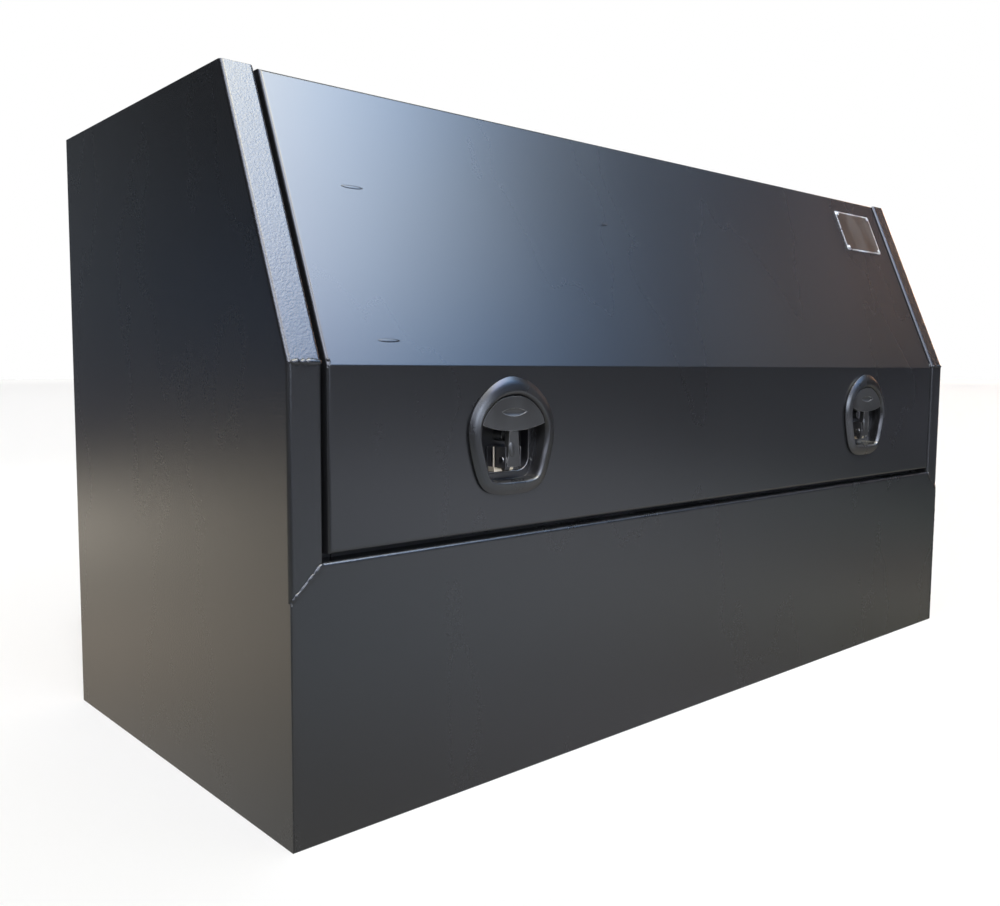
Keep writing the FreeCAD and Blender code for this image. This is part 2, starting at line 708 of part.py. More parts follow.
def outline_wire(half, top, bottom, w, grow):
    """A smooth closed line through a half outline and its mirror image, moved outwards."""
    left = [(-u, v) for u, v in reversed(half)]
    loop = [(0.0, top)] + list(half) + [(0.0, bottom)] + left
    points = [latch_point(u, v, w) for u, v in loop]
    curve = smooth_loop(points)
    grown = []
    for point in points:
        along = Vector(*curve.tangent(curve.parameter(point))[0])
        grown.append(point + along.cross(Y_AXIS).normalize() * grow)
    return Part.Wire(smooth_loop(grown).toShape())


def blend(share, w, grow=0.0):
    """The line that lies a share of the way from the rim's edge to the opening."""
    half = [
        (u0 + share * (u1 - u0), v0 + share * (v1 - v0))
        for (u0, v0), (u1, v1) in zip(RIM_OUTLINE, OPENING_OUTLINE)
    ]
    top = RIM_TOP + share * (OPENING_TOP - RIM_TOP)
    bottom = RIM_BOTTOM + share * (OPENING_BOTTOM - RIM_BOTTOM)
    return outline_wire(half, top, bottom, w, grow)


def opening_block(grow, w0, w1):
    """The opening's outline, grown by a distance, between two depths."""
    return Part.Face(blend(1.0, w0, grow)).extrude(Y_AXIS * (w1 - w0))


def rim_block(grow, w0, w1):
    """The rim's outline, grown by a distance, between two depths."""
    return Part.Face(blend(0.0, w0, grow)).extrude(Y_AXIS * (w1 - w0))


def cup_block(grow, w0, w1):
    """The dish's rounded outline, grown by a distance, between two depths."""
    half = PAN_HALF_WIDTH + grow
    low = latch_point(-half, PAN_BOTTOM - grow, w0)
    block = Part.makeBox(2 * half, w1 - w0, PAN_TOP - PAN_BOTTOM + 2 * grow, low)
    corners = [edge for edge in block.Edges if abs(edge.tangentAt(edge.FirstParameter).y) > 0.9]
    return block.makeFillet(PAN_CORNER + grow, corners)


def screw_points():
    """Where the four screws of a latch stand, behind its ledge."""
    return [
        latch_point(side * half, v, LEDGE_DEEP + LEDGE + PAN_SHEET)
        for side in (-1, 1) for half, v in ((SCREW_SIDE, SCREW_HIGH), (SCREW_LOW_SIDE, SCREW_LOW))
    ]


def latch_bezel():
    """Moulded rim, the wall down into the lid and the ledge round the dish."""
    wires = [blend(share, -GASKET - rise) for share, rise in RIM_SECTION]
    dome = Part.makeLoft(wires, True, False)
    base = rim_block(0.0, -GASKET - RIM_SECTION[0][1], -GASKET)
    body = opening_block(LATCH_WALL, -GASKET, LEDGE_DEEP + LEDGE)
    shape = joined([base, dome, body])
    return cut(shape, [
        opening_block(0.0, -2 * LEDGE_DEEP, LEDGE_DEEP),
        cup_block(CUP_FIT, 0.0, LATCH_HEIGHT),
    ])


def latch_gasket():
    """Flat gasket between the rim and the lid."""
    ring = rim_block(-GASKET_INSET, -GASKET, 0.0)
    return ring.cut(opening_block(LATCH_WALL + CUP_FIT, -LATCH_HEIGHT, LATCH_HEIGHT))


def latch_hole():
    """The hole in the lid for the latch."""
    return opening_block(LATCH_WALL + WALL_CLEARANCE, -LATCH_HEIGHT, LATCH_HEIGHT / 2)


def link_slot():
    """The hole in the dish's floor that the link passes through."""
    half = LINK_HALF_WIDTH + 2 * SIDE_CLEARANCE
    low = latch_point(-half, PIVOT_UP - CRANK - LINK_HALF_HEIGHT - 2 * SIDE_CLEARANCE, LEDGE_DEEP)
    height = 2 * LINK_HALF_HEIGHT + CRANK / 2 + 4 * SIDE_CLEARANCE
    return Part.makeBox(2 * half, PAWL_DEEP, height, low)


def latch_pan():
    """Pressed dish with its flange behind the ledge."""
    top = LEDGE_DEEP - PAN_PROUD
    cup = cup_block(0.0, top, PAN_BACK)
    back = LEDGE_DEEP + LEDGE + PAN_SHEET
    flange = cup_block(PAN_FLANGE, LEDGE_DEEP + LEDGE, back).common(opening_block(LATCH_WALL, 0.0, back))
    hollow = cup_block(-PAN_SHEET, 0.0, PAN_FLOOR)
    barrel = rod(latch_point(0, LOCK_UP, 0), Y_AXIS, LOCK_RADIUS + CUP_FIT, PAWL_DEEP)
    return cut(joined([cup, flange]), [hollow, link_slot(), barrel])


def latch_yoke():
    """Folded yoke on the dish's floor that carries the pivot pin."""
    base = Part.makeBox(
        2 * YOKE_HALF_WIDTH, YOKE_SHEET, YOKE_TOP - YOKE_BOTTOM,
        latch_point(-YOKE_HALF_WIDTH, YOKE_BOTTOM, PAN_FLOOR - YOKE_SHEET),
    )
    cheeks = []
    for x in (-CHEEK_INSIDE - YOKE_SHEET, CHEEK_INSIDE):
        cheeks.append(Part.makeBox(
            YOKE_SHEET, PAN_FLOOR - CHEEK_FRONT, YOKE_TOP - CHEEK_LOW, latch_point(x, CHEEK_LOW, CHEEK_FRONT)
        ))
    pin_hole = rod(latch_point(-LENGTH, PIVOT_UP, PIVOT_DEEP), X_AXIS, PIVOT_RADIUS + RUNNING_FIT, 2 * LENGTH)
    return cut(joined([base] + cheeks), [pin_hole, link_slot()])


def latch_pivot_pin():
    """The handle's pin with a head at each end, outside the cheeks."""
    half = CHEEK_INSIDE + YOKE_SHEET
    middle = latch_point(0, PIVOT_UP, PIVOT_DEEP)
    heads = [
        rod(middle + X_AXIS * half, X_AXIS, PIVOT_HEAD_RADIUS, PIVOT_HEAD),
        rod(middle - X_AXIS * half, -X_AXIS, PIVOT_HEAD_RADIUS, PIVOT_HEAD),
    ]
    return joined([rod(middle - X_AXIS * half, X_AXIS, PIVOT_RADIUS, 2 * half)] + heads)


def tail_block():
    """The wide upper part of the handle that fills the top of the opening."""
    block = opening_block(-HANDLE_GAP, HANDLE_FRONT, HANDLE_BACK)
    chord = LATCH_HEIGHT + TAIL_TIP_UP
    front = FRONT + HANDLE_FRONT - OVERCUT
    left = Vector(-TAIL_TIP_HALF, front, chord)
    right = Vector(TAIL_TIP_HALF, front, chord)
    low = Vector(0, front, LATCH_HEIGHT + TAIL_LOW)
    rise = Z_AXIS * RIM_TOP
    edges = [
        Part.Arc(left, low, right).toShape(), Part.makeLine(right, right + rise),
        Part.makeLine(right + rise, left + rise), Part.makeLine(left + rise, left),
    ]
    region = Part.Face(Part.Wire(edges)).extrude(Y_AXIS * (HANDLE_BACK - HANDLE_FRONT + 2 * OVERCUT))
    return block.common(region)


def dimple():
    """The crescent scooped out of the handle's tail, round from its upper to its lower edge."""
    front = FRONT + HANDLE_FRONT - OVERCUT
    left = Vector(-DIMPLE_HALF, front, LATCH_HEIGHT + DIMPLE_UP)
    right = Vector(DIMPLE_HALF, front, LATCH_HEIGHT + DIMPLE_UP)
    low = Vector(0, front, LATCH_HEIGHT + DIMPLE_UP - DIMPLE_SAG)
    high = Vector(0, front, LATCH_HEIGHT + DIMPLE_UP + DIMPLE_RISE)
    edges = [Part.Arc(left, low, right).toShape(), Part.Arc(right, high, left).toShape()]
    crescent = Part.Face(Part.Wire(edges)).extrude(Y_AXIS * (DIMPLE_DEEP + OVERCUT))
    middle = DIMPLE_UP + (DIMPLE_RISE - DIMPLE_SAG) / 2
    axis = latch_point(-DIMPLE_HALF, middle, HANDLE_FRONT + DIMPLE_DEEP - DIMPLE_SCOOP)
    return crescent.common(rod(axis, X_AXIS, DIMPLE_SCOOP, 2 * DIMPLE_HALF))


def latch_handle():
    """Paddle handle: tail, stem, pivot boss and the two lugs that hold the link's pin."""
    stem_top = TAIL_LOW + 3 * HANDLE_EDGE
    corners = [
        latch_point(u, v, STEM_FRONT) for u, v in (
            (-STEM_TOP_HALF, stem_top), (-STEM_LOW_HALF, STEM_LOW),
            (STEM_LOW_HALF, STEM_LOW), (STEM_TOP_HALF, stem_top), (-STEM_TOP_HALF, stem_top),
        )
    ]
    stem = Part.Face(Part.makePolygon(corners)).extrude(Y_AXIS * (HANDLE_BACK - STEM_FRONT))
    middle = latch_point(0, PIVOT_UP, PIVOT_DEEP)
    wide = 2 * STEM_LOW_HALF
    side = X_AXIS * STEM_LOW_HALF
    boss = rod(middle - side, X_AXIS, HUB_RADIUS, wide)
    heel = rod(middle - side - Z_AXIS * CRANK, X_AXIS, LINK_HALF_HEIGHT, wide)
    web = Part.makeBox(
        wide, 2 * LINK_HALF_HEIGHT, CRANK,
        middle - side - Z_AXIS * CRANK - Y_AXIS * LINK_HALF_HEIGHT,
    )
    gap = LINK_HALF_WIDTH + SIDE_CLEARANCE
    room = Part.makeBox(
        2 * gap, 2 * CRANK, LINK_ROOM_TOP - LINK_ROOM_LOW,
        latch_point(-gap, PIVOT_UP + LINK_ROOM_LOW, PIVOT_DEEP - LINK_HALF_HEIGHT - OVERCUT),
    )
    body = joined([tail_block(), stem, boss, heel, web])
    body = cut(body, [
        room, dimple(), rod(middle - side * 2, X_AXIS, PIVOT_RADIUS + RUNNING_FIT, 2 * wide),
    ])
    pin = rod(middle - side - Z_AXIS * CRANK, X_AXIS, LINK_PIN_RADIUS, wide)
    return joined([body, pin])


def latch_link():
    """Flat link from the handle's lugs to the pawl."""
    near = latch_point(-LINK_HALF_WIDTH, PIVOT_UP - CRANK, PIVOT_DEEP)
    far = latch_point(-LINK_HALF_WIDTH, PIVOT_UP - CRANK, PAWL_DEEP)
    wide = 2 * LINK_HALF_WIDTH
    bar = Part.makeBox(wide, PAWL_DEEP - PIVOT_DEEP, 2 * LINK_HALF_HEIGHT, near - Z_AXIS * LINK_HALF_HEIGHT)
    ends = [rod(point, X_AXIS, LINK_HALF_HEIGHT, wide) for point in (near, far)]
    bores = [
        rod(point - X_AXIS, X_AXIS, LINK_PIN_RADIUS + RUNNING_FIT, wide + 2) for point in (near, far)
    ]
    return cut(joined([bar] + ends), bores)


def latch_back_bracket():
    """Yoke behind the dish that carries the pawl's pin."""
    inner = PAWL_HALF_WIDTH + SIDE_CLEARANCE
    top = PIVOT_UP + HUB_RADIUS
    low = PIVOT_UP - HUB_RADIUS
    back = PAWL_DEEP + REAR_BRACKET_BACK
    plate = Part.makeBox(
        2 * YOKE_HALF_WIDTH, YOKE_SHEET, YOKE_TOP - YOKE_BOTTOM,
        latch_point(-YOKE_HALF_WIDTH, YOKE_BOTTOM, PAN_BACK),
    )
    cheeks = [
        Part.makeBox(YOKE_SHEET, back - PAN_BACK, top - low, latch_point(x, low, PAN_BACK))
        for x in (-inner - YOKE_SHEET, inner)
    ]
    pin_hole = rod(
        latch_point(-LENGTH, PIVOT_UP, PAWL_DEEP), X_AXIS, PAWL_PIN_RADIUS + RUNNING_FIT, 2 * LENGTH
    )
    return cut(joined([plate] + cheeks), [pin_hole, link_slot()])


def latch_pawl_pin():
    """The pawl's pin with its two heads."""
    half = PAWL_HALF_WIDTH + SIDE_CLEARANCE + YOKE_SHEET
    middle = latch_point(0, PIVOT_UP, PAWL_DEEP)
    return joined([
        rod(middle - X_AXIS * half, X_AXIS, PAWL_PIN_RADIUS, 2 * half),
        rod(middle + X_AXIS * half, X_AXIS, PIVOT_HEAD_RADIUS, PIVOT_HEAD),
        rod(middle - X_AXIS * half, -X_AXIS, PIVOT_HEAD_RADIUS, PIVOT_HEAD),
    ])


def latch_pawl():
    """The hook behind the sill: two arms on the pin with the link between them, and the tongue below."""
    left = latch_point(-PAWL_HALF_WIDTH, PIVOT_UP, PAWL_DEEP)
    wide = 2 * PAWL_HALF_WIDTH
    shoulder = PIVOT_UP - PAWL_SHOULDER
    root = PIVOT_UP - PAWL_SHOULDER - CRANK
    tip = PIVOT_UP - PAWL_REACH
    points = (
        (PAWL_DEEP - PAWL_SHEET, PIVOT_UP), (PAWL_DEEP - PAWL_SHEET, shoulder),
        (TONGUE_FACE, root), (TONGUE_FACE, tip), (TONGUE_FACE + PAWL_SHEET, tip),
        (TONGUE_FACE + PAWL_SHEET, root), (PAWL_DEEP + PAWL_SHEET, shoulder), (PAWL_DEEP + PAWL_SHEET, PIVOT_UP),
    )
    plate = prism([(FRONT + w, LATCH_HEIGHT + v) for w, v in points], left.x, left.x + wide)
    gap = LINK_HALF_WIDTH + SIDE_CLEARANCE
    fork_low = PIVOT_UP - 2 * CRANK
    fork = Part.makeBox(
        2 * gap, 4 * HUB_RADIUS, PIVOT_UP + 2 * HUB_RADIUS - fork_low,
        latch_point(-gap, fork_low, PAWL_DEEP - 2 * HUB_RADIUS),
    )
    bore = rod(left - X_AXIS, X_AXIS, PAWL_PIN_RADIUS + RUNNING_FIT, wide + 2)
    body = cut(joined([plate, rod(left, X_AXIS, HUB_RADIUS, wide)]), [fork, bore])
    return joined([body, rod(left - Z_AXIS * CRANK, X_AXIS, LINK_PIN_RADIUS, wide)])


def latch_lock_barrel():
    """Lock barrel through the dish's floor, with its flange behind."""
    face = latch_point(0, LOCK_UP, LOCK_FACE)
    barrel = rod(face, Y_AXIS, LOCK_RADIUS, LOCK_BACK - LOCK_FACE)
    nut = rod(latch_point(0, LOCK_UP, PAN_BACK), Y_AXIS, LOCK_RADIUS + YOKE_SHEET, YOKE_SHEET)
    return joined([barrel, nut]).cut(
        rod(face - Y_AXIS, Y_AXIS, PLUG_RADIUS + RUNNING_FIT, LOCK_BACK)
    )


def latch_lock_plug():
    """Turning plug with its key slot and the cam behind the barrel."""
    face = latch_point(0, LOCK_UP, LOCK_FACE)
    back = latch_point(0, LOCK_UP, LOCK_BACK + SIDE_CLEARANCE)
    plug = rod(face, Y_AXIS, PLUG_RADIUS, (back - face).Length)
    cam = Part.makeBox(CAM_LENGTH, CAM, 2 * PLUG_RADIUS, back - Z_AXIS * PLUG_RADIUS)
    slot = Part.makeBox(
        KEY_SLOT, KEY_SLOT_DEEP, KEY_SLOT_LENGTH,
        face - X_AXIS * (KEY_SLOT / 2) - Z_AXIS * (KEY_SLOT_LENGTH / 2),
    )
    hub = rod(back, Y_AXIS, PLUG_RADIUS, CAM)
    return joined([plug, hub, cam]).cut(slot)


def latch_screws():
    """Four screws that clamp the dish to the bezel."""
    screws = []
    for point in screw_points():
        head = rod(point, Y_AXIS, SCREW_HEAD_RADIUS, SCREW_HEAD)
        stem = rod(point, -Y_AXIS, SCREW_RADIUS, LEDGE / 2 + PAN_SHEET)
        screws.append(joined([head, stem]))
    return screws


def keeper():
    """Wear plate behind the sill for one pawl."""
    top = SILL_LIP - CHANNEL_SHEET
    return box(
        -KEEPER_HALF_WIDTH, KEEPER_HALF_WIDTH, FRONT + CHANNEL_DEPTH, FRONT + KEEPER_BACK,
        top - KEEPER_HEIGHT, top,
    )


def keeper_screw_points():
    """Where the two screws of a keeper stand, on its rear face."""
    z = SILL_LIP - CHANNEL_SHEET - KEEPER_HEIGHT / 2
    return [
        Vector(side * KEEPER_SCREW_SPACING / 2, FRONT + KEEPER_BACK, z) for side in (-1, 1)
    ]


def keeper_screws():
    """Screws through a keeper and the sill."""
    screws = []
    for point in keeper_screw_points():
        head = rod(point, Y_AXIS, SCREW_HEAD_RADIUS, SCREW_HEAD)
        screws.append(joined([head, rod(point, -Y_AXIS, SCREW_RADIUS, KEEPER + CHANNEL_SHEET)]))
    return screws


def nameplate():
    """Blank plate on the slope, with rounded corners."""
    start = on_slope(PLATE_ALONG - PLATE_HEIGHT / 2, LID_INSET - PLATE, PLATE_FROM_CENTRE)
    face = Part.makePlane(PLATE_LENGTH, PLATE, Vector(-PLATE_LENGTH / 2, 0, 0))
    plate = run_section(face, start, X_AXIS, INTO_SLOPE, PLATE_HEIGHT)
    corners = [edge for edge in plate.Edges if abs(edge.Length - PLATE) < RUNNING_FIT]
    return plate.makeFillet(PLATE_CORNER, corners)


def nameplate_rivet_points():
    """The four corners where the nameplate is riveted."""
    across = PLATE_LENGTH / 2 - PLATE_RIVET_INSET
    up = PLATE_HEIGHT / 2 - PLATE_RIVET_INSET
    return [
        on_slope(PLATE_ALONG + v * up, LID_INSET - PLATE, PLATE_FROM_CENTRE + u * across)
        for u in (-1, 1) for v in (-1, 1)
    ]


parts = {}

side = side_panel()
parts["side_panel_left"] = side
parts["side_panel_right"] = mirrored(side)
parts["back_panel"] = box(-SIDE + SHEET, SIDE - SHEET, BACK - SHEET, BACK, 0, HEIGHT)
parts["floor_panel"] = box(-SIDE + SHEET, SIDE - SHEET, FRONT + SHEET, BACK - SHEET, 0, SHEET)
parts["lower_front_panel"] = lower_front()

fixed_points = hinge_rivet_points(1)
moving_points = hinge_rivet_points(-1)
fixed_holes = rivet_holes(fixed_points, -Z_AXIS, RIVET_RADIUS, HEADER_DOWN)
moving_holes = rivet_holes(moving_points, -Z_AXIS, RIVET_RADIUS, HEADER_DOWN)
parts["roof_panel"] = cut(roof_panel(), fixed_holes)
channel = door_channel_side()
parts["door_channel_left"] = channel
parts["door_channel_right"] = mirrored(channel)
screw_hole = [
    rod(point - Y_AXIS * CHANNEL_DEPTH, Y_AXIS, SCREW_RADIUS + RIVET_FIT, 2 * CHANNEL_DEPTH)
    for point in keeper_screw_points()
]
screw_holes = [moved(bore, x=sign * LATCH_FROM_CENTRE) for sign in (-1, 1) for bore in screw_hole]
parts["door_channel_sill"] = cut(door_channel_sill(), screw_holes)
parts["door_channel_header"] = cut(door_channel_header(), fixed_holes)
parts["door_seal"] = door_seal([parts["door_channel_" + end] for end in ("left", "right", "sill", "header")])
parts["hinge_fixed_leaf"] = cut(hinge_leaf(False), fixed_holes)
parts["hinge_pin"] = rod(Vector(-HINGE_HALF, HINGE_Y, HINGE_Z), X_AXIS, PIN_RADIUS, 2 * HINGE_HALF)
grip = SHEET + LEAF
parts["hinge_fixed_rivets"] = Part.makeCompound([
    rivet(point, -Z_AXIS, RIVET_RADIUS, RIVET_HEAD_RADIUS, grip + CHANNEL_SHEET) for point in fixed_points
])

plate_points = nameplate_rivet_points()
plate_holes = rivet_holes(plate_points, INTO_SLOPE, PLATE_RIVET_RADIUS, LID_BEND + SHEET)
hole = latch_hole()
lid_holes = [moved(hole, x=sign * LATCH_FROM_CENTRE) for sign in (-1, 1)]
parts["lid_skin"] = cut(lid_skin(), lid_holes + moving_holes + plate_holes)
parts["lid_ribs"] = lid_ribs()
parts["hinge_moving_leaf"] = cut(hinge_leaf(True), moving_holes)
parts["hinge_moving_rivets"] = Part.makeCompound([
    rivet(point, -Z_AXIS, RIVET_RADIUS, RIVET_HEAD_RADIUS, grip) for point in moving_points
])
parts["nameplate"] = cut(nameplate(), plate_holes)
parts["nameplate_rivets"] = Part.makeCompound([
    rivet(point, INTO_SLOPE, PLATE_RIVET_RADIUS, PLATE_RIVET_HEAD, PLATE + SHEET) for point in plate_points
])

for name, shape in (
    ("strut_lid_bracket", strut_lid_bracket()), ("strut_foot", strut_foot()),
    ("strut_cylinder", strut_cylinder()), ("strut_rod", strut_rod()),
):
    parts[name + "_left"] = shape
    parts[name + "_right"] = mirrored(shape)

screw_stems = [
    rod(point - Y_AXIS * LEDGE * 2, Y_AXIS, SCREW_RADIUS + RIVET_FIT, LEDGE * 4) for point in screw_points()
]
latch = {
    "bezel": cut(latch_bezel(), screw_stems),
    "gasket": latch_gasket(),
    "pan": cut(latch_pan(), screw_stems),
    "yoke": latch_yoke(),
    "pivot_pin": latch_pivot_pin(),
    "back_bracket": latch_back_bracket(),
    "pawl_pin": latch_pawl_pin(),
    "screws": Part.makeCompound(latch_screws()),
    "lock_barrel": latch_lock_barrel(),
    "handle": latch_handle(),
    "link": latch_link(),
    "pawl": latch_pawl(),
    "lock_plug": latch_lock_plug(),
}
for end, sign in (("left", -1), ("right", 1)):
    for name, shape in latch.items():
        parts["latch_" + name + "_" + end] = moved(shape, x=sign * LATCH_FROM_CENTRE)
    parts["keeper_" + end] = cut(moved(keeper(), x=sign * LATCH_FROM_CENTRE), screw_holes)
parts["keeper_screws"] = Part.makeCompound([
    moved(screw, x=sign * LATCH_FROM_CENTRE) for sign in (-1, 1) for screw in keeper_screws()
])

os.makedirs("parts", exist_ok=True)
for name, shape in parts.items():
    shape.exportStep("parts/" + name + ".step")
    print(name, len(shape.Solids), round(shape.Volume), shape.isValid())
print("nodes", len(parts))
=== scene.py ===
"""Half lid toolbox in powder coated sheet: its finishes, weld beads, nameplate, latches and studio."""

import logging
import math
import random
from dataclasses import dataclass
from enum import Enum

import bmesh
import bpy
from mathutils import Matrix, Vector


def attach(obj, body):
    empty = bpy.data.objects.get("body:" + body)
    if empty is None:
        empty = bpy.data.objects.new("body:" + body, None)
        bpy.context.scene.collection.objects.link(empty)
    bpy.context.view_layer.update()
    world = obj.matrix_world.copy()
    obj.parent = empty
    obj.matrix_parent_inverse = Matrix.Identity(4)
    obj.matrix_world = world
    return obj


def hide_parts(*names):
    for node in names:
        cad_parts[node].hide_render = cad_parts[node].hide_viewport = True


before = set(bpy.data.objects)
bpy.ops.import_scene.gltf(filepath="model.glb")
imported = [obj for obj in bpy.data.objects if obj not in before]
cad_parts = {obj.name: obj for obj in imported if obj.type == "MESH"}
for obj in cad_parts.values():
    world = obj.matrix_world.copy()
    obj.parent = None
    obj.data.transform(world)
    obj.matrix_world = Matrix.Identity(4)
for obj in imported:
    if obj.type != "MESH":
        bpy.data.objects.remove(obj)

LOG = logging.getLogger("toolbox")
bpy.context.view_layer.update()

# Sizes of the folded box in metres, as its source has them
SIDE = 0.75
FRONT = -0.3
HEIGHT = 0.83
KNEE_HEIGHT = 0.507
SLOPE_RUN = 0.13
FLANGE = 0.041
SILL_HEIGHT = 0.3
MITRE_DROP = 0.037
ROOF_TOP = 0.828
SHEET = 0.0025
LID_SIDE = 0.703
LID_BOTTOM = 0.308
LID_INSET = 0.0012
SLOPE_RISE = HEIGHT - KNEE_HEIGHT
SLOPE_LENGTH = math.hypot(SLOPE_RUN, SLOPE_RISE)
UP_SLOPE = Vector((0, SLOPE_RUN, SLOPE_RISE)).normalized()
OUT_OF_SLOPE = Vector((0, -UP_SLOPE.z, UP_SLOPE.y))
OUT_OF_KNEE = (OUT_OF_SLOPE + Vector((0, -1, 0))).normalized()
X_AXIS = Vector((1, 0, 0))
Y_AXIS = Vector((0, 1, 0))
Z_AXIS = Vector((0, 0, 1))
LATCH_FROM_CENTRE = 0.4385
LATCH_HEIGHT = 0.4195


class End(Enum):
    """The two ends of the box, with the sign of their X."""

    LEFT = -1
    RIGHT = 1

    @property
    def word(self) -> str:
        """The end's word in node and piece names."""
        return self.name.lower()


class Body(Enum):
    """The bodies that new pieces ride on."""

    BOX = "box"
    LID = "lid"


def on_slope(along: float, proud: float = 0.0, x: float = 0.0) -> Vector:
    """A point on the slope.

    Args:
        along: Distance up the slope from the knee.
        proud: Distance outside the folded face.
        x: Place along the box.

    Returns:
        The point in the row frame.
    """
    return Vector((x, FRONT, KNEE_HEIGHT)) + UP_SLOPE * along + OUT_OF_SLOPE * proud


def slope_frame(point: Vector) -> Matrix:
    """A frame on the slope, with Y up the slope and Z out of it."""
    return frame_at(point, X_AXIS, UP_SLOPE, OUT_OF_SLOPE)


class Graph:
    """A node tree that is filled by short calls."""

    def __init__(self, tree: bpy.types.NodeTree) -> None:
        """Empties the tree and keeps it."""
        self.tree = tree
        tree.nodes.clear()

    def add(self, kind: str, settings: dict | None = None, **inputs: object) -> bpy.types.Node:
        """Adds a node.

        Args:
            kind: The node's type name.
            settings: Attributes of the node, such as an operation.
            **inputs: Input values or output sockets, by socket name with _ for a space, or in0, in1 by place.

        Returns:
            The new node.
        """
        node = self.tree.nodes.new(kind)
        for key, value in (settings or {}).items():
            setattr(node, key, value)
        for key, value in inputs.items():
            by_place = key.startswith("in") and key[2:].isdigit()
            self.feed(node.inputs[int(key[2:])] if by_place else node.inputs[key.replace("_", " ")], value)
        return node

    def feed(self, socket: bpy.types.NodeSocket, value: object) -> None:
        """Links a socket to another, or sets its value.

        Args:
            socket: The input that is fed.
            value: An output socket or a plain value.
        """
        if isinstance(value, bpy.types.NodeSocket):
            self.tree.links.new(value, socket)
        else:
            socket.default_value = value

    def math(
        self, operation: str, first: object, second: object = 0.0, clamp: bool = False
    ) -> bpy.types.NodeSocket:
        """A Math node's result.

        Args:
            operation: The node's operation.
            first: Its first input, a socket or a number.
            second: Its second input.
            clamp: Whether the result stays between 0 and 1.

        Returns:
            The output socket.
        """
        settings = {"operation": operation, "use_clamp": clamp}
        return self.add("ShaderNodeMath", settings, in0=first, in1=second).outputs[0]

    def ramp(self, value: object, low: float, high: float) -> bpy.types.NodeSocket:
        """A value mapped smoothly to the range from 0 to 1.

        Args:
            value: The socket that is mapped.
            low: The value that gives 0.
            high: The value that gives 1.

        Returns:
            The output socket.
        """
        settings = {"interpolation_type": "SMOOTHSTEP"}
        return self.add("ShaderNodeMapRange", settings, in0=value, in1=low, in2=high).outputs[0]

    def mix(self, share: object, first: object, second: object) -> bpy.types.NodeSocket:
        """A colour mixed from two.

        Args:
            share: How much of the second colour it has.
            first: The first colour.
            second: The second colour.

        Returns:
            The output socket.
        """
        settings = {"data_type": "RGBA"}
        return self.add("ShaderNodeMix", settings, in0=share, in6=first, in7=second).outputs[2]

    def noise(self, place: object, scale: object, detail: float) -> bpy.types.NodeSocket:
        """The value of a noise texture at a place, with its scale and its number of octaves."""
        return self.add("ShaderNodeTexNoise", Vector=place, Scale=scale, Detail=detail).outputs[0]

    def own_place(self) -> bpy.types.NodeSocket:
        """The place on the piece, in its own coordinates."""
        return self.add("ShaderNodeTexCoord").outputs["Object"]


def colour(red: float, green: float, blue: float) -> tuple[float, float, float, float]:
    """An opaque colour."""
    return (red, green, blue, 1.0)


